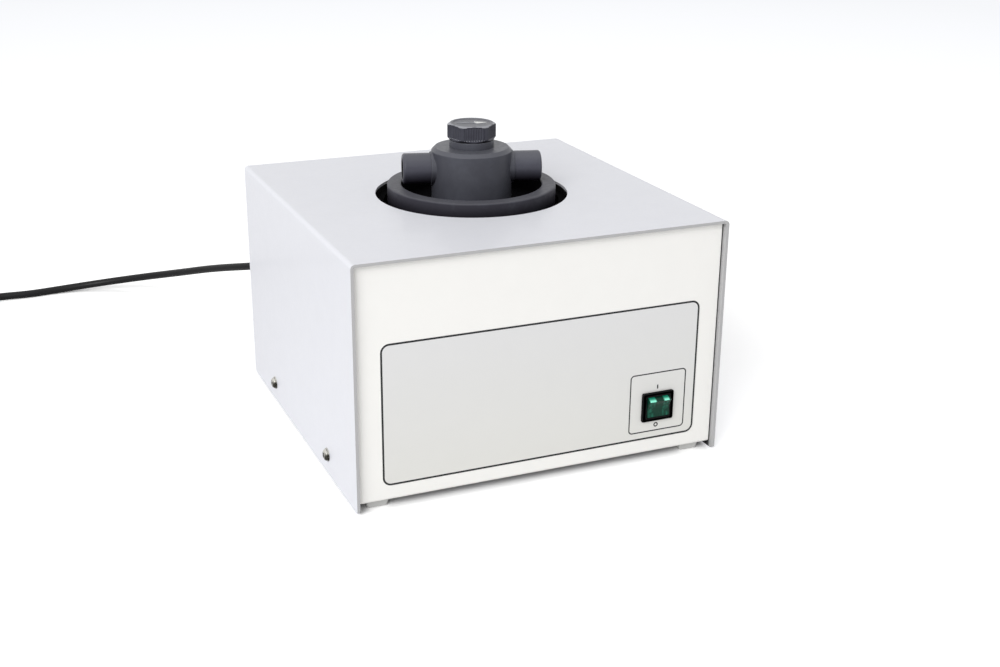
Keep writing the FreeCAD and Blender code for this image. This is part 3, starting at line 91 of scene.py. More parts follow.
class Nodes:
    """Short hand for building a node tree."""

    def __init__(self, tree):
        self.tree = tree
        self.place = self.add("ShaderNodeTexCoord").outputs["Object"]

    def add(self, kind, inputs=None, **fields):
        node = self.tree.nodes.new(kind)
        for name, value in fields.items():
            setattr(node, name, value)
        for name, value in (inputs or {}).items():
            self.feed(node.inputs[name], value)
        return node

    def feed(self, socket, value):
        if isinstance(value, bpy.types.NodeSocket):
            self.tree.links.new(value, socket)
        else:
            socket.default_value = value

    def noise(self, scale, detail=3.0, stretch=None, rough=0.5):
        """Noise of about one wave in 1 / scale metres, from 0 to 1."""
        place = self.place
        if stretch:
            place = self.add("ShaderNodeMapping", {"Vector": place, "Scale": stretch}).outputs[0]
        return self.add("ShaderNodeTexNoise", {"Vector": place, "Scale": scale, "Detail": detail,
                                               "Roughness": rough}).outputs["Fac"]

    def ranged(self, value, low, high, to_low, to_high):
        return self.add("ShaderNodeMapRange", {"Value": value, "From Min": low, "From Max": high,
                                               "To Min": to_low, "To Max": to_high}).outputs["Result"]

    def maths(self, operation, first, second=0.0):
        node = self.add("ShaderNodeMath", operation=operation)
        self.feed(node.inputs[0], first)
        self.feed(node.inputs[1], second)
        return node.outputs[0]

    def mix(self, factor, first, second, blend="MIX"):
        node = self.add("ShaderNodeMix", data_type="RGBA", blend_type=blend)
        self.feed(node.inputs["Factor"], factor)
        self.feed(node.inputs[6], first)
        self.feed(node.inputs[7], second)
        return node.outputs[2]

    def axis(self, vector, letter):
        return self.add("ShaderNodeSeparateXYZ", {"Vector": vector}).outputs[letter]


def linear(red, green, blue):
    """A colour given as 0 to 255 in sRGB, as linear red, green, blue and alpha."""
    parts = []
    for part in (red, green, blue):
        share = part / 255
        parts.append(share / 12.92 if share <= 0.04045 else ((share + 0.055) / 1.055) ** 2.4)
    return (*parts, 1.0)


def shaded(colour, factor):
    """A linear colour made lighter or darker."""
    return (*(part * factor for part in colour[:3]), 1.0)


def surface(name, colour, rough, grain=(900, 0.00005), mottle=0.04, mottle_scale=60, rough_spread=0.06,
            metal=0.0, stretch=None, sockets=None, tint=None):
    """A material with mottled colour, uneven gloss and a fine grain.

    grain is waves per metre and height in metres; tint(nodes, colour) may change the colour further.
    """
    material = bpy.data.materials.new(name)
    material.use_nodes = True
    material.node_tree.nodes.clear()
    nodes = Nodes(material.node_tree)
    shader = nodes.add("ShaderNodeBsdfPrincipled", {"Metallic": metal})
    for socket, value in (sockets or {}).items():
        shader.inputs[socket].default_value = value
    cloud = nodes.noise(mottle_scale, 4.0, stretch)
    paint = nodes.mix(nodes.ranged(cloud, 0.3, 0.7, 0.0, 1.0), shaded(colour, 1 - mottle), shaded(colour, 1 + mottle))
    if tint:
        paint = tint(nodes, paint)
    fine = nodes.noise(grain[0], 2.0, stretch)
    bump = nodes.add("ShaderNodeBump", {"Height": fine, "Distance": grain[1], "Strength": 1.0})
    nodes.feed(shader.inputs["Base Color"], paint)
    nodes.feed(shader.inputs["Roughness"],
               nodes.ranged(nodes.noise(mottle_scale * 5, 3.0, stretch), 0.3, 0.7, rough - rough_spread,
                            rough + rough_spread))
    nodes.feed(shader.inputs["Normal"], bump.outputs[0])
    output = nodes.add("ShaderNodeOutputMaterial")
    nodes.feed(output.inputs["Surface"], shader.outputs[0])
    return material


def cover_tint(nodes, colour):
    """Greyer on the cover's sheet ends; painted shade on its inside faces, grey, and near black deep behind the front
    and back.
    """
    facing = nodes.maths("ABSOLUTE", nodes.axis(nodes.add("ShaderNodeTexCoord").outputs["Normal"], "Y"))
    side = nodes.ranged(nodes.maths("ABSOLUTE", nodes.axis(nodes.place, "X")), 130.55 * MM, 130.8 * MM, 1.0, 0.0)
    under = nodes.ranged(nodes.axis(nodes.place, "Z"), 167.55 * MM, 167.8 * MM, 1.0, 0.0)
    inside = nodes.maths("MULTIPLY", side, under)
    # The grey: the sheet ends that face front or back, and the inside faces, where it is painted shade.
    thin = nodes.maths("MAXIMUM", inside, nodes.ranged(facing, 0.6, 0.9, 0.0, 1.0))
    deep = nodes.ranged(nodes.maths("ABSOLUTE", nodes.axis(nodes.place, "Y")), 127.6 * MM, 128.6 * MM, 1.0, 0.0)
    greyed_paint = nodes.mix(thin, colour, linear(178, 178, 179))
    # Painted shade: near black on the inside faces deep behind the front and back.
    return nodes.mix(nodes.maths("MULTIPLY", inside, deep), greyed_paint, linear(38, 38, 40))


def tray_tint(nodes, colour):
    """Darker grey on the tray's underside, flanges and inside behind its painted panels: painted shade for the gaps and
    the space under the tray.
    """
    height = nodes.ranged(nodes.axis(nodes.place, "Z"), 6.6 * MM, 7.2 * MM, 1.0, 0.0)
    edge = nodes.ranged(nodes.maths("ABSOLUTE", nodes.axis(nodes.place, "X")), 129.4 * MM, 129.6 * MM, 0.0, 1.0)
    deep = nodes.ranged(nodes.maths("ABSOLUTE", nodes.axis(nodes.place, "Y")), 126.9 * MM, 127.3 * MM, 1.0, 0.0)
    # Painted shade: the underside, the flanges and the inside behind the panels.
    tray_shade = nodes.maths("MAXIMUM", nodes.maths("MULTIPLY", height, deep), nodes.maths("MAXIMUM", edge, deep))
    return nodes.mix(tray_shade, colour, linear(92, 92, 92))


def rim_tint(nodes, colour):
    """Painted shade down the rim's sides, darker towards the bottom."""
    height = nodes.ranged(nodes.axis(nodes.place, "Z"), 163 * MM, 174 * MM, 0.0, 1.0)
    # Near black painted shade below the cover's top, fading out up the rim.
    return nodes.mix(height, linear(17, 15, 20), wear_and_painted_light_tint(nodes, colour))


def port_tint(nodes, colour):
    """Painted shade inside the ports' bores."""
    turned = nodes.add("ShaderNodeMapping", {"Vector": nodes.place, "Rotation": (0, 0, -PORT_TURN)}).outputs[0]
    across = nodes.axis(turned, "Y")
    upward = nodes.maths("SUBTRACT", nodes.axis(turned, "Z"), PORT_LEVEL * MM)
    square = nodes.maths("ADD", nodes.maths("MULTIPLY", across, across), nodes.maths("MULTIPLY", upward, upward))
    bore = nodes.ranged(nodes.maths("SQRT", square), 7.7 * MM, 8.0 * MM, 1.0, 0.0)
    # Near black painted shade within the bore's radius.
    return nodes.mix(bore, wear_and_painted_light_tint(nodes, colour), linear(20, 19, 23))


def label_tint(nodes, colour):
    """Slightly cooler at the top of the plate and warmer at its foot."""
    height = nodes.ranged(nodes.axis(nodes.place, "Z"), 0.02, 0.115, 0.0, 1.0)
    warm = nodes.mix(1.0, colour, (1.0, 0.995, 0.965, 1.0), "MULTIPLY")
    cool = nodes.mix(1.0, colour, (0.995, 0.995, 1.01, 1.0), "MULTIPLY")
    return nodes.mix(height, warm, cool)


def facing_up(nodes):
    """How far a face looks up, from -1 to 1."""
    return nodes.axis(nodes.add("ShaderNodeTexCoord").outputs["Normal"], "Z")


def wear_and_painted_light_tint(nodes, colour):
    """Rubbed in broad patches, with painted light on the faces that look up and painted shade on those that look down.
    """
    patch = nodes.ranged(nodes.noise(28, 5.0, rough=0.65), 0.5, 0.7, 0.0, 0.35)
    worn = nodes.mix(patch, colour, linear(94, 97, 106))
    # Painted light: lighter on the faces that look up.
    painted_top_light = nodes.mix(nodes.ranged(facing_up(nodes), 0.3, 0.75, 0.0, 0.4), worn, linear(104, 105, 111))
    # Painted shade: darker on the faces that look down.
    return nodes.mix(nodes.ranged(facing_up(nodes), -0.75, 0.1, 1.0, 0.0), painted_top_light, linear(26, 23, 31))


def knob_tint(nodes, colour):
    """The knob's bevel a light grey, its top lighter with the painted light on faces that look up."""
    bevel = nodes.maths("MULTIPLY", nodes.ranged(facing_up(nodes), 0.35, 0.7, 0.0, 1.0),
                        nodes.ranged(facing_up(nodes), 0.9, 0.99, 1.0, 0.1))
    return nodes.mix(bevel, wear_and_painted_light_tint(nodes, colour), linear(152, 153, 159))


def lens_tint(nodes, colour):
    """Painted light on the rocker: highlights on its upward faces at both ends, brightest near the top, dark green
    between them, and lighter green cells at the ends of its front.
    """
    along = nodes.maths("SUBTRACT", nodes.axis(nodes.place, "X"), SWITCH[0] * MM)
    left = nodes.maths("MULTIPLY", nodes.ranged(along, -8.1 * MM, -7.6 * MM, 0.0, 1.0),
                       nodes.ranged(along, -3.6 * MM, -2.7 * MM, 1.0, 0.0))
    right = nodes.maths("MULTIPLY", nodes.ranged(along, 2.6 * MM, 3.6 * MM, 0.0, 1.0),
                        nodes.ranged(along, 6.7 * MM, 7.4 * MM, 1.0, 0.0))
    ends = nodes.maths("MAXIMUM", left, right)
    height = nodes.axis(nodes.place, "Z")
    cells = nodes.ranged(nodes.noise(420, 3.0, stretch=(1, 1, 0.6)), 0.42, 0.64, 0.0, 1.0)
    # Painted light: lighter green cells at both ends of the front.
    face = nodes.mix(nodes.maths("MULTIPLY", ends, cells), colour, linear(22, 96, 76))
    top = nodes.ranged(facing_up(nodes), 0.35, 0.6, 0.0, 1.0)
    high = nodes.ranged(height, (SWITCH[1] + 5.9) * MM, (SWITCH[1] + 6.8) * MM, 0.0, 1.0)
    # Painted highlights on the upward faces at the ends, brightest near the top.
    painted_highlight = nodes.mix(high, linear(150, 255, 224), linear(30, 142, 112))
    return nodes.mix(top, face, nodes.mix(ends, linear(8, 52, 38), painted_highlight))


def pointer_tint(nodes, colour):
    """The pointer's worn tail and its bright head."""
    return nodes.mix(nodes.ranged(nodes.axis(nodes.place, "X"), 1.5 * MM, 3 * MM, 0.0, 1.0), linear(146, 148, 154),
                     colour)


def screw_tint(nodes, colour):
    """Painted light and shade: bright where the dome looks up, painted shade in its lower flank and recess."""
    normal = nodes.add("ShaderNodeTexCoord").outputs["Normal"]
    turned = nodes.maths("ADD", nodes.maths("MULTIPLY", nodes.axis(normal, "Y"), 0.55),
                         nodes.maths("MULTIPLY", nodes.axis(normal, "Z"), 0.85))
    # Painted shade where the faces turn away from above.
    return nodes.mix(nodes.ranged(turned, -0.3, 0.32, 0.0, 1.0), linear(62, 61, 55), colour)


def felt(name, colour):
    """Needled felt: short fibres and a fuzzy sheen."""
    return surface(name, colour, 0.95, grain=(1400, 0.0004), mottle=0.12, mottle_scale=400,
                   rough_spread=0.03, stretch=(1, 1, 0.3), sockets={"Sheen Weight": 0.4, "Sheen Roughness": 0.5})


def granules(name, colour):
    """A bed of charcoal granules: dark cells with a dull shine."""
    material = surface(name, colour, 0.55, grain=(300, 0.0002), mottle=0.4, mottle_scale=500)
    nodes = Nodes(material.node_tree)
    cells = nodes.add("ShaderNodeTexVoronoi", {"Vector": nodes.place, "Scale": 420.0}).outputs["Distance"]
    bump = nodes.add("ShaderNodeBump", {"Height": cells, "Distance": 0.001, "Strength": 1.0})
    shader = next(node for node in material.node_tree.nodes if node.type == "BSDF_PRINCIPLED")
    nodes.feed(shader.inputs["Normal"], bump.outputs[0])
    return material


MATERIALS = {
    "case_paint": surface("case_paint", linear(229, 230, 236), 0.42, grain=(1100, 0.00003), mottle=0.008,
                          tint=cover_tint, sockets={"Coat Weight": 0.08}),
    "panel_paint": surface("panel_paint", linear(246, 245, 242), 0.5, grain=(1300, 0.00002), mottle=0.006,
                           tint=tray_tint),
    "label_film": surface("label_film", linear(225, 225, 224), 0.38, grain=(2200, 0.00001), mottle=0.004,
                          tint=label_tint),
    "plated_steel": surface("plated_steel", linear(196, 196, 190), 0.28, grain=(700, 0.00001), mottle=0.06,
                            metal=1.0),
    "foot_rubber": surface("foot_rubber", linear(206, 206, 204), 0.7, grain=(900, 0.00006)),
    "switch_black": surface("switch_black", linear(9, 7, 10), 0.35, grain=(1500, 0.00001),
                            sockets={"Specular IOR Level": 0.12}),
    "rocker_green": surface("rocker_green", linear(7, 56, 42), 0.22, grain=(1500, 0.000004), mottle=0.1,
                            mottle_scale=200, tint=lens_tint, sockets={"Specular IOR Level": 0.2}),
    "contact_brass": surface("contact_brass", linear(214, 190, 130), 0.25, grain=(600, 0.00001), metal=1.0,
                             stretch=(1, 8, 1)),
    "head_grey": surface("head_grey", linear(73, 74, 82), 0.38, grain=(1600, 0.00002), mottle=0.03,
                         tint=wear_and_painted_light_tint, sockets={"Specular IOR Level": 0.24}),
    "black_rubber": surface("black_rubber", linear(15, 15, 15), 0.8, grain=(800, 0.00005),
                            sockets={"Specular IOR Level": 0.08}),
    "felt_white": felt("felt_white", linear(222, 220, 208)),
    "charcoal": granules("charcoal", linear(26, 26, 27)),
    "mark_white": surface("mark_white", linear(240, 240, 238), 0.5, grain=(2500, 0.00001), mottle=0.03,
                          tint=pointer_tint),
    # Near black well: painted shade for the gap round the canister.
    "well_black": surface("well_black", linear(5, 5, 6), 0.9, grain=(700, 0.00005),
                          sockets={"Specular IOR Level": 0.02}),
    "fan_plastic": surface("fan_plastic", linear(58, 59, 62), 0.55, grain=(1000, 0.00004), mottle=0.06),
    "motor_alloy": surface("motor_alloy", linear(190, 191, 193), 0.45, grain=(900, 0.00008), mottle=0.08, metal=1.0),
    "motor_steel": surface("motor_steel", linear(150, 150, 154), 0.35, grain=(1800, 0.00004), mottle=0.1,
                           metal=1.0, stretch=(0.05, 0.05, 3)),
    "cord_black": surface("cord_black", linear(12, 12, 14), 0.42, grain=(700, 0.00003), mottle=0.1,
                          sockets={"Specular IOR Level": 0.25}),
    "block_white": surface("block_white", linear(224, 222, 210), 0.5, grain=(1200, 0.00003)),
    "capacitor_can": surface("capacitor_can", linear(200, 200, 202), 0.3, grain=(900, 0.00002), metal=1.0,
                             stretch=(1, 0.1, 1)),
}
# The rim: a darker grey, with painted shade down its sides from rim_tint.
HEAD_DARK = surface("head_grey_dark", linear(56, 55, 63), 0.42, grain=(1600, 0.00002), mottle=0.04,
                    tint=rim_tint, sockets={"Specular IOR Level": 0.14})
# The ports, with painted shade in their bores from port_tint.
HEAD_PORT = surface("head_grey_port", linear(72, 72, 82), 0.36, grain=(1600, 0.00002), mottle=0.03,
                    tint=port_tint, sockets={"Specular IOR Level": 0.2})
# Near black trough: painted shade in the deep trough.
TROUGH = surface("head_trough", linear(9, 8, 11), 0.85, grain=(1600, 0.00002), sockets={"Specular IOR Level": 0.02})
KNOB = surface("knob_grey", linear(56, 56, 66), 0.36, grain=(1600, 0.00002), mottle=0.03, tint=knob_tint,
               sockets={"Specular IOR Level": 0.24})
# Zinc plated screws and washers, with painted light and shade from screw_tint.
SCREW = surface("screw_zinc", linear(206, 205, 198), 0.26, grain=(700, 0.00001), mottle=0.1, metal=1.0,
                tint=screw_tint)
INK = surface("label_ink", linear(22, 23, 26), 0.5, grain=(2500, 0.000005), mottle=0.08, mottle_scale=900)


def dress(obj, material):
    obj.data.materials.clear()
    obj.data.materials.append(material)


def finish_edges(obj, smooth):
    """Splits edges sharper than smooth degrees and lets large flat faces rule the normals, so that they shade flat."""
    split = obj.modifiers.new("creases", "EDGE_SPLIT")
    split.split_angle = math.radians(smooth)
    even = obj.modifiers.new("even", "WEIGHTED_NORMAL")
    even.keep_sharp = True
    even.weight = 100


def dress_frame():
    """Gives every CAD node its slot's material and smooth rounds, and the nodes in EASED slightly eased edges."""
    slots = {row["node"]: row["material_slot"] for row in frame["record"]["subparts"]}
    for name, node in frame["nodes"].items():
        dress(node, MATERIALS[slots[name]])
        node.data.polygons.foreach_set("use_smooth", [True] * len(node.data.polygons))
        weld = node.modifiers.new("weld", "WELD")
        weld.merge_threshold = 1e-6
        if name in EASED:
            bevel = node.modifiers.new("eased", "BEVEL")
            bevel.width = EASED[name] * MM
            bevel.segments = 2
            bevel.limit_method = "ANGLE"
            bevel.angle_limit = math.radians(50)
            bevel.use_clamp_overlap = True
            bevel.miter_outer = "MITER_ARC"
        finish_edges(node, 32)


# Mesh helpers

def rounded(corners, steps=4):
    """A closed outline with its corners turned round; a corner is its two places and its radius."""
    outline = []
    for index, (x, y, radius) in enumerate(corners):
        here = Vector((x, y))
        before = Vector(corners[index - 1][:2]) - here
        after = Vector(corners[(index + 1) % len(corners)][:2]) - here
        if radius == 0:
            outline.append(here)
            continue
        half = before.angle(after) / 2
        towards = (before.normalized() + after.normalized()).normalized()
        centre = here + towards * (radius / math.sin(half))
        first = here + before.normalized() * (radius / math.tan(half)) - centre
        sweep = math.pi - 2 * half
        side = 1 if before.cross(after) < 0 else -1
        for step in range(steps + 1):
            outline.append(centre + first.copy() @ Matrix.Rotation(-side * sweep * step / steps, 2))
    return outline


def finish_piece(name, points, faces, slot, body, replaces=(), smooth=32, material=None, bevel=0):
    """Makes the piece from points in mm, with outward faces, its finish and its body."""
    mesh = bpy.data.meshes.new(name)
    mesh.from_pydata([Vector(point) * MM for point in points], [], faces)
    work = bmesh.new()
    work.from_mesh(mesh)
    bmesh.ops.remove_doubles(work, verts=work.verts, dist=1e-7)
    bmesh.ops.recalc_face_normals(work, faces=work.faces)
    work.to_mesh(mesh)
    work.free()
    mesh.polygons.foreach_set("use_smooth", [True] * len(mesh.polygons))
    obj = bpy.data.objects.new(name, mesh)
    bpy.context.scene.collection.objects.link(obj)
    if bevel:
        eased = obj.modifiers.new("eased", "BEVEL")
        eased.width = bevel * MM
        eased.segments = 3
        eased.limit_method = "ANGLE"
        eased.angle_limit = math.radians(35)
    finish_edges(obj, smooth)
    dress(obj, material or MATERIALS[slot])
    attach(obj, body)
    if replaces:
        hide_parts(*replaces)
    return obj


def carve(piece, part, smooth):
    """Cuts a closed part out of a piece and keeps the result as the piece's mesh."""
    cutter = finish_piece("cutter", *part, "head_grey", "canister")
    piece.modifiers.clear()
    cut = piece.modifiers.new("cut", "BOOLEAN")
    cut.operation = "DIFFERENCE"
    cut.solver = "EXACT"
    cut.object = cutter
    bpy.context.view_layer.update()
    mesh = bpy.data.meshes.new_from_object(piece.evaluated_get(bpy.context.evaluated_depsgraph_get()))
    piece.modifiers.clear()
    piece.data = mesh
    bpy.data.objects.remove(cutter)
    finish_edges(piece, smooth)


def grid_faces(rows, columns, close_rows=False):
    """Faces between closed rows of points, each row with as many columns."""
    faces = []
    for row in range(rows if close_rows else rows - 1):
        for column in range(columns):
            here, beyond = row * columns, (row + 1) % rows * columns
            after = (column + 1) % columns
            faces.append((here + column, here + after, beyond + after, beyond + column))
    return faces


def lathed(outline, segments=96):
    """Points and faces of a closed outline of radius and height turned about Z."""
    points = []
    for radius, height in outline:
        for index in range(segments):
            angle = 2 * math.pi * index / segments
            points.append((radius * math.cos(angle), radius * math.sin(angle), height))
    return points, grid_faces(len(outline), segments, close_rows=True)


def joined(*parts):
    """Several lists of points and faces as one."""
    points, faces = [], []
    for some_points, some_faces in parts:
        faces += [tuple(index + len(points) for index in face) for face in some_faces]
        points += list(some_points)
    return points, faces


def moved(part, matrix):
    """A part's points moved by a matrix in mm."""
    points, faces = part
    return [tuple(matrix @ Vector(point)) for point in points], faces


def along_ports(side):
    """Turns a lathed part so that its Z axis points out of a port, from the valve's axis at port level."""
    return ON_PORTS @ Matrix.Translation((0, 0, PORT_LEVEL)) @ Matrix.Rotation(math.radians(90 * side), 4, "Y")


def rounded_rectangle(width, height, corner, steps=6):
    """A closed outline round the origin."""
    half_x, half_y = width / 2, height / 2
    return rounded([(-half_x, -half_y, corner), (half_x, -half_y, corner), (half_x, half_y, corner),
                    (-half_x, half_y, corner)], steps)


def on_front(x, z, y):
    """Turns a plan drawn in X and Y to face the front, with its heights towards the viewer from y."""
    return Matrix.Translation((x, y, z)) @ Matrix.Rotation(math.radians(90), 4, "X")


def lofted(rings, capped=True):
    """Points and faces through rings of as many points, with flat ends."""
    count = len(rings[0])
    points = [point for ring in rings for point in ring]
    faces = grid_faces(len(rings), count)
    if capped:
        faces += [tuple(range(count)), tuple(range(len(points) - count, len(points)))]
    return points, faces


# The mains lead

CORD_ROUTE = [
    (-80, 169.2, 62), (-80, 190, 62), (-90, 221, 58.8), (-111.5, 254, 50), (-130.7, 290, 39.8),
    (-151, 325, 28), (-180, 362, 15.8), (-214, 386, 7), (-252, 392.3, 3.25), (-280, 388.4, 3.25),
    (-305, 391, 3.25), (-330, 391, 3.25),
]
COIL_CENTRE = (-364, 355)
CORD_RADIUS = 3.25


def eased_step(angle, start, end):
    """0 before start, 1 after end, smooth between."""
    share = min(1.0, max(0.0, (angle - start) / (end - start)))
    return share * share * (3 - 2 * share)


def coil_points():
    """The put-away coil: three turns winding in on the bench, then three winding out on top of them."""
    width = 2 * CORD_RADIUS
    points = [(-342.4, 392.5, CORD_RADIUS)]
    step = 15
    for angle in range(75, 1980 + step, step):
        inward = sum(eased_step(angle, start, start + 120) for start in (330, 690))
        outward = sum(eased_step(angle, start, start + 120) for start in (1290, 1650))
        radius = 36 + width * (1 - inward + outward)
        height = CORD_RADIUS + width * eased_step(angle, 1010, 1130)
        turn = math.radians(angle)
        points.append((COIL_CENTRE[0] + radius * math.cos(turn), COIL_CENTRE[1] + radius * math.sin(turn), height))
    return points


def make_cord():
    """The whole lead as one smooth curve, from the relief to the coil and its plug."""
    to_plug = [(-405.6, 346, 9.75), (-403.2, 337, 9.75), (-400.9, 328, 9.75), (-400, 318, 9.75)]
    points = CORD_ROUTE + coil_points() + to_plug
    data = bpy.data.curves.new("mains_lead", "CURVE")
    data.dimensions = "3D"
    spline = data.splines.new("NURBS")
    spline.points.add(len(points) - 1)
    for slot, point in zip(spline.points, points):
        slot.co = (*(Vector(point) * MM), 1.0)
    spline.order_u = 3
    spline.use_endpoint_u = True
    spline.resolution_u = 10
    data.bevel_depth = CORD_RADIUS * MM
    data.bevel_resolution = 5
    data.use_fill_caps = True
    lead = bpy.data.objects.new("mains_lead", data)
    bpy.context.scene.collection.objects.link(lead)
    dress(lead, MATERIALS["cord_black"])
    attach(lead, "housing")
    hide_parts("mains_cord", "mains_cord_coil")
    return lead


def make_strain_relief():
    """The tapered, slotted sleeve where the lead leaves the gland."""
    start, length, root, tip = 134.2, 35.0, 6.4, 4.3
    outline = [(0.0, 0.0, 0), (root, 0.0, 0.3)]
    for ring in range(5):
        low = length / 5.5 * (ring + 0.5)
        high = low + length / 5.5 * 0.4
        for along, deep in ((low, 0), (low, 1), (high, 1), (high, 0)):
            outline.append((root - (root - tip) * along / length - 0.9 * deep, along, 0.25))
    outline += [(tip, length, 0.8), (0.0, length, 0)]
    place = Matrix.Translation((-80, start, 62)) @ Matrix.Rotation(math.radians(-90), 4, "X")
    return finish_piece("strain_sleeve", *moved(lathed(rounded(outline, 3), 48), place), "cord_black", "housing",
                        ["strain_relief"])


def superellipse(width, height, power, count=40):
    """A plump closed outline: 2 is an ellipse and 8 almost a rectangle."""
    outline = []
    for index in range(count):
        angle = 2 * math.pi * index / count
        cosine, sine = math.cos(angle), math.sin(angle)
        outline.append((width / 2 * math.copysign(abs(cosine) ** (2 / power), cosine),
                        height / 2 * math.copysign(abs(sine) ** (2 / power), sine)))
    return outline


def make_plug():
    """The moulded plug: a soft block with a waisted grip, and a ribbed relief on its tail."""
    sections = [
        # distance from the lead's end, width, height, height of the middle, power
        (0, 8.2, 8.2, 9.75, 2), (1, 9.0, 9.0, 9.75, 2), (4, 9.2, 9.2, 9.75, 2), (4.6, 8.2, 8.2, 9.75, 2),
        (6.2, 8.2, 8.2, 9.75, 2), (6.8, 10.0, 10.0, 9.75, 2), (9.4, 10.3, 10.3, 9.75, 2),
        (10, 9.2, 9.2, 9.75, 2), (11.6, 9.2, 9.2, 9.75, 2), (12.2, 11.2, 11.2, 9.75, 2),
        (15, 11.7, 11.7, 9.75, 2), (17.5, 14, 13.4, 9.9, 2.2), (19.5, 19, 17, 10.4, 2.6), (22, 22.5, 20.2, 11.1, 3.2),
        (26, 23.4, 22.0, 11.7, 3.8), (32, 22.6, 21.8, 11.9, 4), (38, 22.4, 21.8, 11.9, 4), (44, 23.6, 23.0, 12.1, 4.4),
        (49, 25.4, 24.4, 12.4, 5), (52, 26.0, 25.0, 12.5, 5.5), (55, 26.0, 25.0, 12.5, 5.5),
        (55.8, 25.2, 24.2, 12.5, 5.5), (56, 24.4, 23.4, 12.5, 5.5)]
    rings = []
    for along, width, height, middle, power in sections:
        rings.append([(-400 + x, 318 - along, middle + z) for x, z in superellipse(width, height, power)])
    return finish_piece("moulded_plug", *lofted(rings), "cord_black", "housing", ["plug_body"], smooth=50)


def make_coil_tie():
    """A strap round the coil's turns that holds them together."""
    turn = math.radians(300)
    radial = Vector((math.cos(turn), math.sin(turn), 0))
    tangent = Vector((-math.sin(turn), math.cos(turn), 0))
    middle = Vector((*COIL_CENTRE, 0)) + radial * 36
    points = []
    sections = [
        # width, height, distance along the lead
        (20.6, 13.6, -4.5), (21.8, 14.4, -4.5), (22.0, 14.6, -4.1), (22.0, 14.6, 4.1), (21.8, 14.4, 4.5),
        (20.6, 13.6, 4.5)]
    for width, height, shift in sections:
        for x, z in rounded_rectangle(width, height, 3.2):
            points.append(tuple(middle + radial * x + tangent * shift + Vector((0, 0, max(0.05, z + 6.6)))))
    faces = grid_faces(len(sections), len(points) // len(sections), close_rows=True)
    return finish_piece("coil_tie", points, faces, "black_rubber", "housing")


def make_lead():
    relief = make_strain_relief()
    plug = make_plug()
    tie = make_coil_tie()
    lead = make_cord()


# The canister's head, its ports and the selector knob

def make_head():
    """The head's rim and trough with moulded rounds in place of the CAD's plain bevels."""
    outline = rounded([
        (22, 158.5, 0), (52.5, 158.5, 0), (52.5, 173.5, 0), (58.2, 173.5, 0), (58.2, 152, 0),
        (60, 152, 0.4), (60, 176.5, 1.3), (50, 176.5, 1.1), (50, 161.5, 2.0), (22, 161.5, 0)], 5)
    rim = finish_piece("head_rim", *lathed(outline, 160), "head_grey", "canister", ["canister_head"],
                       material=HEAD_DARK)
    # The trough's faces take the near black painted shade.
    rim.data.materials.append(TROUGH)
    for face in rim.data.polygons:
        centre = face.center / MM
        if centre.z < 172 and math.hypot(centre.x, centre.y) < 51:
            face.material_index = 1


def collar(side):
    """A port's collar with a rolling fillet where it meets the round boss."""
    radius, bore, round_by = 12.0, 11.05, 0.5
    columns = 64
    rows = []
    for index in range(columns):
        angle = 2 * math.pi * index / columns
        across, upward = math.cos(angle), math.sin(angle)
        centre_across = (radius + round_by) * across
        centre_up = (radius + round_by) * upward
        centre_out = math.sqrt((BOSS_RADIUS + round_by) ** 2 - centre_across ** 2)
        centre = Vector((centre_out, centre_across, centre_up))
        to_boss = -Vector((centre_out, centre_across, 0)).normalized()
        to_collar = -Vector((0, across, upward))
        ring = [Vector((22.4, (bore + 0.3) * across, (bore + 0.3) * upward)),
                centre + to_boss * (round_by + 0.8)]
        for step in range(6):
            share = step / 5
            ring.append(centre + (to_boss * (1 - share) + to_collar * share).normalized() * round_by)
        for out, size in ((29.12, radius), (29.35, radius - 0.1), (29.47, radius - 0.3), (29.5, bore + 0.2),
                          (29.3, bore), (23.0, bore)):
            ring.append(Vector((out, size * across, size * upward)))
        rows.append(ring)
    count = len(rows[0])
    points = [tuple(point) for ring in rows for point in ring]
    turn = ON_PORTS @ Matrix.Translation((0, 0, PORT_LEVEL)) @ Matrix.Rotation(math.pi if side < 0 else 0, 4, "Z")
    return moved((points, grid_faces(columns, count, close_rows=True)), turn)


def make_valve_body():
    """The boss with its bevelled shoulder, bored for the ports, and the two collars."""
    outline = rounded([
        (22, 161.5, 0), (BOSS_RADIUS, 161.5, 0), (BOSS_RADIUS, BOSS_TOP - 2.5, 0.7), (BOSS_RADIUS - 2.5, BOSS_TOP, 0.7),
        (8.08, BOSS_TOP, 0.2), (8.08, BOSS_TOP - 6, 0), (22, BOSS_TOP - 6, 0)], 4)
    boss = finish_piece("valve_boss", *lathed(outline, 144), "head_grey", "canister", ["valve_body"])
    bore = rounded([(0, -40, 0), (11.05, -40, 0), (11.05, 40, 0), (0, 40, 0)])
    carve(boss, moved(lathed(bore, 96), along_ports(1)), 25)
    finish_piece("port_collars", *joined(collar(1), collar(-1)), "head_grey", "canister")


def make_ports():
    """The two tubes: a slight taper, a rounded mouth and a stepped bore."""
    outline = rounded([
        (7.5, 20, 0), (10.98, 20, 0), (11.0, 30, 0), (11.0, 49.2, 1.8), (7.5, 49.2, 0.5)], 6)
    for name, side in (("right_port", 1), ("left_port", -1)):
        finish_piece("tube_of_" + name, *moved(lathed(outline, 96), along_ports(side)), "head_grey", "canister", [name],
                     material=HEAD_PORT)


def make_neck():
    outline = rounded([(8.08, BOSS_TOP, 0), (15.8, BOSS_TOP, 0), (15.8, BOSS_TOP + 5, 0.4), (8.08, BOSS_TOP + 5, 0)], 3)
    finish_piece("knob_neck", *lathed(outline, 96), "head_grey", "canister", ["knob_collar"])


def knob_turn(angle):
    """An angle round the knob, counted from the middle of its nearest flat."""
    flat = (angle - math.radians(30)) % math.radians(60)
    return flat if flat < math.radians(30) else flat - math.radians(60)


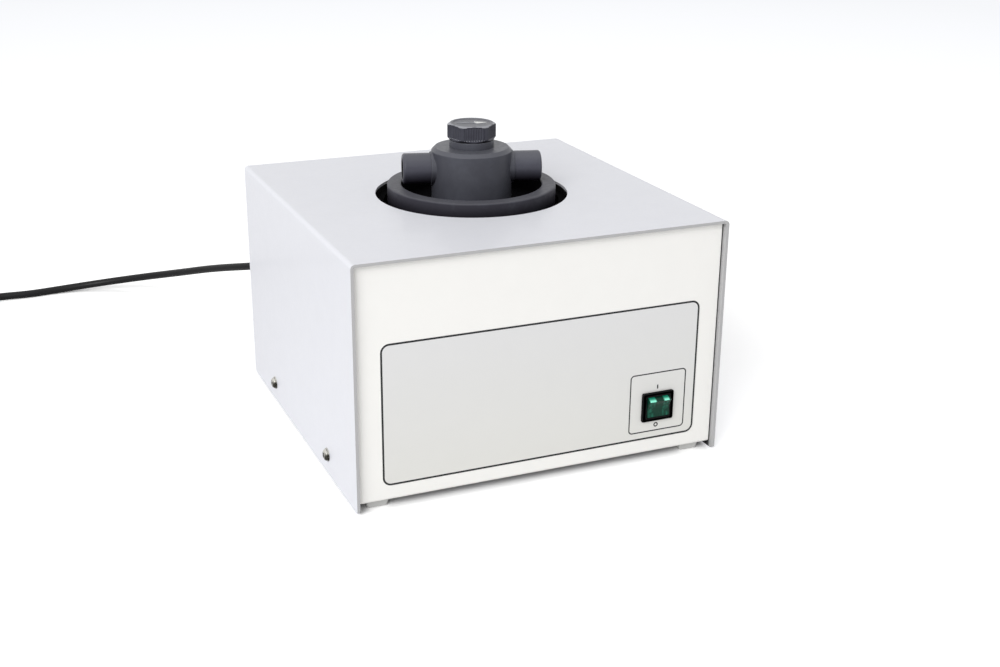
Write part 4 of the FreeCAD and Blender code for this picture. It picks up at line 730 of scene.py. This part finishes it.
def knob_radius(angle):
    """The knob's side at mid height: ribbed flats between round corners."""
    pitch, depth, half_ribbed = 1.8, 0.21, 7.4
    turn = knob_turn(angle)
    out = KNOB_FLAT / math.cos(turn)
    if out >= KNOB_ROUND:
        return KNOB_ROUND
    across = KNOB_FLAT * math.tan(turn)
    if abs(across) > half_ribbed:
        return out
    wave = math.cos(2 * math.pi * across / pitch + math.pi)
    return out - depth * (1 - wave)


def make_knob():
    """The ribbed six sided knob with its bevels and the shallow dish in its top."""
    columns = 720
    base, top, socket = KNOB_BASE, KNOB_TOP, 8.1
    levels = [
        # height, how far inside the largest radius, share of the ribs' depth
        (base, 1.7, 0), (base + 0.15, 1.5, 0), (base + 0.8, 0.8, 0), (base + 1.5, 0.1, 0.2), (base + 1.8, 0, 1),
        (top - 1.6, 0, 1), (top - 1.35, 0.05, 0.4), (top - 1.15, 0.15, 0), (top - 0.7, 0.95, 0), (top - 0.25, 1.8, 0),
        (top - 0.08, 2.15, 0), (top, 2.55, 0)]

    def plain_ring(radius, height):
        return [(radius * math.cos(2 * math.pi * column / columns),
                 radius * math.sin(2 * math.pi * column / columns), height) for column in range(columns)]

    rings = [plain_ring(socket, base + 6), plain_ring(socket, base)]
    for height, inset, share in levels:
        ring = []
        for column in range(columns):
            angle = 2 * math.pi * column / columns
            ribbed = knob_radius(angle)
            smooth = min(KNOB_ROUND, KNOB_FLAT / math.cos(knob_turn(angle)))
            radius = min(KNOB_ROUND - inset, ribbed * share + smooth * (1 - share))
            ring.append((radius * math.cos(angle), radius * math.sin(angle), height))
        rings.append(ring)
    for radius, height in ((14.0, top), (13.75, top - 0.08), (13.6, top - 0.3), (13.45, top - 0.55),
                           (13.2, top - 0.6), (0.05, top - 0.6)):
        rings.append(plain_ring(radius, height))
    finish_piece("knob", *moved(lofted(rings), ON_PORTS), "head_grey", "selector", ["selector_knob"], smooth=28,
                 material=KNOB)


def make_pointer():
    """The knob's white pointer: a thin tail and a broad arrow head in the dish."""
    tail, neck, tip, half_line, half_head, thick = -10.5, 2.0, 10.5, 0.6, 3.0, 0.3
    outline = [(tail, -half_line), (neck, -half_line), (neck, -half_head), (tip, 0.0), (neck, half_head),
               (neck, half_line), (tail, half_line)]
    part = lofted([[(x, y, level) for x, y in outline] for level in (KNOB_DISH, KNOB_DISH + thick)])
    finish_piece("pointer", *moved(part, ON_PORTS), "mark_white", "selector", ["pointer_mark"])


# The rocker switch

def make_bezel():
    """The switch's frame with a rounded rim and walls that slope in to the rocker."""
    sections = [
        # width, height, corner, distance out of the plate
        (24.2, 21.2, 1.6, 0.0), (24.2, 21.2, 1.6, 1.2), (23.8, 20.8, 1.5, 1.75), (23.0, 20.0, 1.3, 2.0),
        (19.4, 17.4, 0.8, 2.0), (18.9, 16.9, 0.7, 1.85), (18.5, 16.5, 0.6, 1.4), (17.5, 15.5, 0.4, 0.4),
        (17.5, 15.5, 0.4, -10.0), (21.6, 18.6, 0.4, -10.0), (21.6, 18.6, 0.4, 0.0)]
    points = []
    for width, height, corner, out in sections:
        points += [(x, y, out) for x, y in rounded_rectangle(width, height, corner, 6)]
    part = (points, grid_faces(len(sections), len(points) // len(sections), close_rows=True))
    finish_piece("switch_bezel", *moved(part, on_front(*SWITCH, LABEL_FACE)), "switch_black", "housing", smooth=40)


def make_rocker():
    """The rocker's lens with its two dished faces and softened edges, its upper end out."""
    tilt = math.radians(11)
    reach, proud, dip, back = 7.5, 4.2, 1.5, 3.5
    corner = math.sqrt(reach ** 2 - proud ** 2)
    heel = math.sqrt(reach ** 2 - back ** 2)
    outline = []
    steps = 16
    for step in range(steps + 1):
        up = corner * (1 - 2 * step / steps)
        outline.append((proud - dip * (1 - (up / corner) ** 2), up))
    low = math.atan2(-corner, proud)
    end = math.atan2(-heel, -back)
    for step in range(1, 9):
        angle = low + (end - low) * step / 8
        outline.append((reach * math.cos(angle), reach * math.sin(angle)))
    start = math.atan2(heel, -back)
    finish = math.atan2(corner, proud)
    for step in range(8):
        angle = start + (finish - start) * step / 8
        outline.append((reach * math.cos(angle), reach * math.sin(angle)))
    rings = []
    for x, inset in ((-8.5, 0.45), (-8.37, 0.15), (-8.1, 0.0), (8.1, 0.0), (8.37, 0.15), (8.5, 0.45)):
        ring = []
        for out, up in outline:
            size = math.hypot(out, up)
            share = (size - inset) / size
            out, up = out * share, up * share
            ring.append((SWITCH[0] + x, LABEL_FACE - (out * math.cos(tilt) + up * math.sin(tilt)),
                         SWITCH[1] + up * math.cos(tilt) - out * math.sin(tilt)))
        rings.append(ring)
    finish_piece("rocker_lens", *lofted(rings), "rocker_green", "rocker", ["rocker"], smooth=45, bevel=0.25)


# The plate's printed lines

def line_ring(width, height, corner, thick):
    """A printed line round a rounded rectangle, its outside at the given size."""
    sunk, lift = -0.02, 0.04
    points = []
    for inset, out in ((0, sunk), (0, lift), (thick, lift), (thick, sunk)):
        for x, y in rounded_rectangle(width - 2 * inset, height - 2 * inset, max(0.2, corner - inset), 8):
            points.append((x, y, out))
    return points, grid_faces(4, len(points) // 4, close_rows=True)


def make_print():
    """The plate's outline, the frame round the switch, and the on and off marks."""
    lines = [
        # name, place in x and z, width, height, corner, thickness of the line
        ("plate_outline", 0.8, 65.5, 229.2, 97.9, 5.9, 1.3), ("switch_frame", 86.05, 43.95, 43.4, 44.0, 3.0, 0.86),
        ("mark_on", 85.8, 55.0, 1.0, 3.0, 0.1, 0.49), ("mark_off", 85.7, 26.6, 3.4, 3.4, 1.69, 0.85)]
    for name, x, z, width, height, corner, thick in lines:
        line = moved(line_ring(width, height, corner, thick), on_front(x, z, LABEL_FACE))
        finish_piece(name, *line, "switch_black", "housing", material=INK)


# The cover's screws

def make_screws():
    """Domed cross recess screws on washers, two on each side of the cover."""
    dome = rounded([(0.01, 0, 0), (4.0, 0, 0.15), (4.0, 0.9, 0.5), (2.9, 2.05, 1.2), (0.01, 2.4, 0)], 5)
    washer = rounded([(2.3, 0, 0), (4.7, 0, 0.15), (4.7, 0.8, 0.25), (2.3, 0.8, 0.1)], 3)
    slots = []
    for length, width in ((4.4, 1.0), (1.0, 4.4)):
        plan = rounded_rectangle(length, width, 0.3, 2)
        slots.append(lofted([[(x, y, level) for x, y in plan] for level in (1.25, 3.0)]))
    screws, washers, crosses = [], [], ([], [])
    for side in (-1, 1):
        for end in (-1, 1):
            place = (Matrix.Translation((132.5 * side, 68 * end, 16)) @ Matrix.Rotation(math.radians(90 * side), 4, "Y")
                     @ Matrix.Rotation(math.radians(25 * end), 4, "Z"))
            seat = place @ Matrix.Translation((0, 0, 0.8))
            washers.append(moved(lathed(washer, 48), place))
            screws.append(moved(lathed(dome, 48), seat))
            for cross, slot in zip(crosses, slots):
                cross.append(moved(slot, seat))
    heads = finish_piece("screw_heads", *joined(*screws), "plated_steel", "housing", ["cover_screws"], smooth=50,
                         material=SCREW)
    for cross in crosses:
        carve(heads, joined(*cross), 40)
    finish_piece("screw_washers", *joined(*washers), "plated_steel", "housing", ["cover_washers"], smooth=40,
                 material=SCREW)


# The feet

def make_feet():
    """Moulded square feet with soft corners, an eased base and the screw's recess."""
    sections = [
        # half width, corner, height
        (5.9, 1.0, 0.0), (6.4, 1.3, 0.12), (6.75, 1.5, 0.5), (7.9, 1.7, 5.6), (7.8, 1.6, 6.0)]
    bore = [
        # radius, height
        (1.7, 6.0), (1.7, 3.4), (3.9, 3.4), (4.0, 0.3), (4.3, 0.0)]
    rings = [[(x, y, level) for x, y in rounded_rectangle(half * 2, half * 2, corner)]
             for half, corner, level in sections]
    around = [(x / math.hypot(x, y), y / math.hypot(x, y)) for x, y in rounded_rectangle(2, 2, 0.9)]
    rings += [[(radius * x, radius * y, level) for x, y in around] for radius, level in bore]
    points = [point for ring in rings for point in ring]
    foot = points, grid_faces(len(rings), len(around), close_rows=True)
    parts = [moved(foot, Matrix.Translation((x, y, 0))) for x in (-116, 116) for y in (-117, 117)]
    finish_piece("rubber_feet", *joined(*parts), "foot_rubber", "housing", ["feet"], smooth=40)


# Floor, world and lamps

def seen_rays(nodes):
    """The light path's own output for the camera, the one for mirrored rays, and both as one."""
    path = nodes.add("ShaderNodeLightPath")
    mirrored = nodes.maths("MAXIMUM", path.outputs["Is Glossy Ray"], path.outputs["Is Transmission Ray"])
    return path.outputs["Is Camera Ray"], mirrored, nodes.maths("MAXIMUM", path.outputs["Is Camera Ray"], mirrored)


def make_stage():
    """A white sweep that keeps the object's own shadow and stays white far away."""
    mesh = bpy.data.meshes.new("floor")
    size = 30.0
    mesh.from_pydata([(-size, -size, 0), (size, -size, 0), (size, size, 0), (-size, size, 0)], [], [(0, 1, 2, 3)])
    floor = bpy.data.objects.new("floor", mesh)
    bpy.context.scene.collection.objects.link(floor)
    material = bpy.data.materials.new("white_floor")
    material.use_nodes = True
    material.node_tree.nodes.clear()
    nodes = Nodes(material.node_tree)
    camera, mirrored, seen = seen_rays(nodes)
    tone = nodes.mix(mirrored, (0.9, 0.9, 0.9, 1.0), (1.0, 1.0, 1.0, 1.0))
    tone = nodes.mix(camera, tone, (FLOOR_TONE, FLOOR_TONE, FLOOR_TONE, 1.0))
    diffuse = nodes.add("ShaderNodeBsdfDiffuse", {"Color": tone})
    away = nodes.add("ShaderNodeVectorMath", {0: nodes.place}, operation="LENGTH").outputs["Value"]
    glow = nodes.add("ShaderNodeEmission", {"Color": (0.965, 0.975, 1.0, 1.0),
                                            "Strength": nodes.ranged(away, 1.2, 2.6, 1.08, 0.96)})
    share = nodes.maths("MULTIPLY", seen, nodes.ranged(away, 0.6, 1.5, 0.0, 1.0))
    both = nodes.add("ShaderNodeMixShader", {"Fac": share})
    nodes.feed(both.inputs[1], diffuse.outputs[0])
    nodes.feed(both.inputs[2], glow.outputs[0])
    output = nodes.add("ShaderNodeOutputMaterial")
    nodes.feed(output.inputs["Surface"], both.outputs[0])
    dress(floor, material)


def make_world():
    """White where it is seen or mirrored, half as strong as a light."""
    world = bpy.data.worlds.new("studio")
    bpy.context.scene.world = world
    world.use_nodes = True
    world.node_tree.nodes.clear()
    nodes = Nodes(world.node_tree)
    strength = nodes.ranged(seen_rays(nodes)[2], 0.0, 1.0, WORLD_LIGHT, 1.0)
    shade = nodes.add("ShaderNodeBackground", {"Color": (1.0, 1.0, 1.0, 1.0), "Strength": strength})
    output = nodes.add("ShaderNodeOutputWorld")
    nodes.feed(output.inputs["Surface"], shade.outputs[0])


def make_lamp(name, place, towards, size, watts):
    """A soft box; places and sizes in metres."""
    data = bpy.data.lights.new(name, "AREA")
    data.shape = "RECTANGLE"
    data.size, data.size_y = size
    data.energy = watts
    lamp = bpy.data.objects.new(name, data)
    bpy.context.scene.collection.objects.link(lamp)
    lamp.location = place
    lamp.rotation_euler = (Vector(towards) - Vector(place)).to_track_quat("-Z", "Y").to_euler()


make_camera()
make_lead()
dress_frame()
make_head()
make_valve_body()
make_ports()
make_neck()
make_knob()
make_pointer()
make_bezel()
make_rocker()
make_print()
make_screws()
make_feet()
make_stage()
make_world()
make_lamp("key", (-2.5, -2.25, 2.15), (0, 0, 0.1), (2.4, 2.0), 94)
make_lamp("top", (0.3, 0.4, 3.1), (0, 0, 0.1), (2.4, 2.4), 12)
bpy.context.scene.view_settings.view_transform = "Standard"
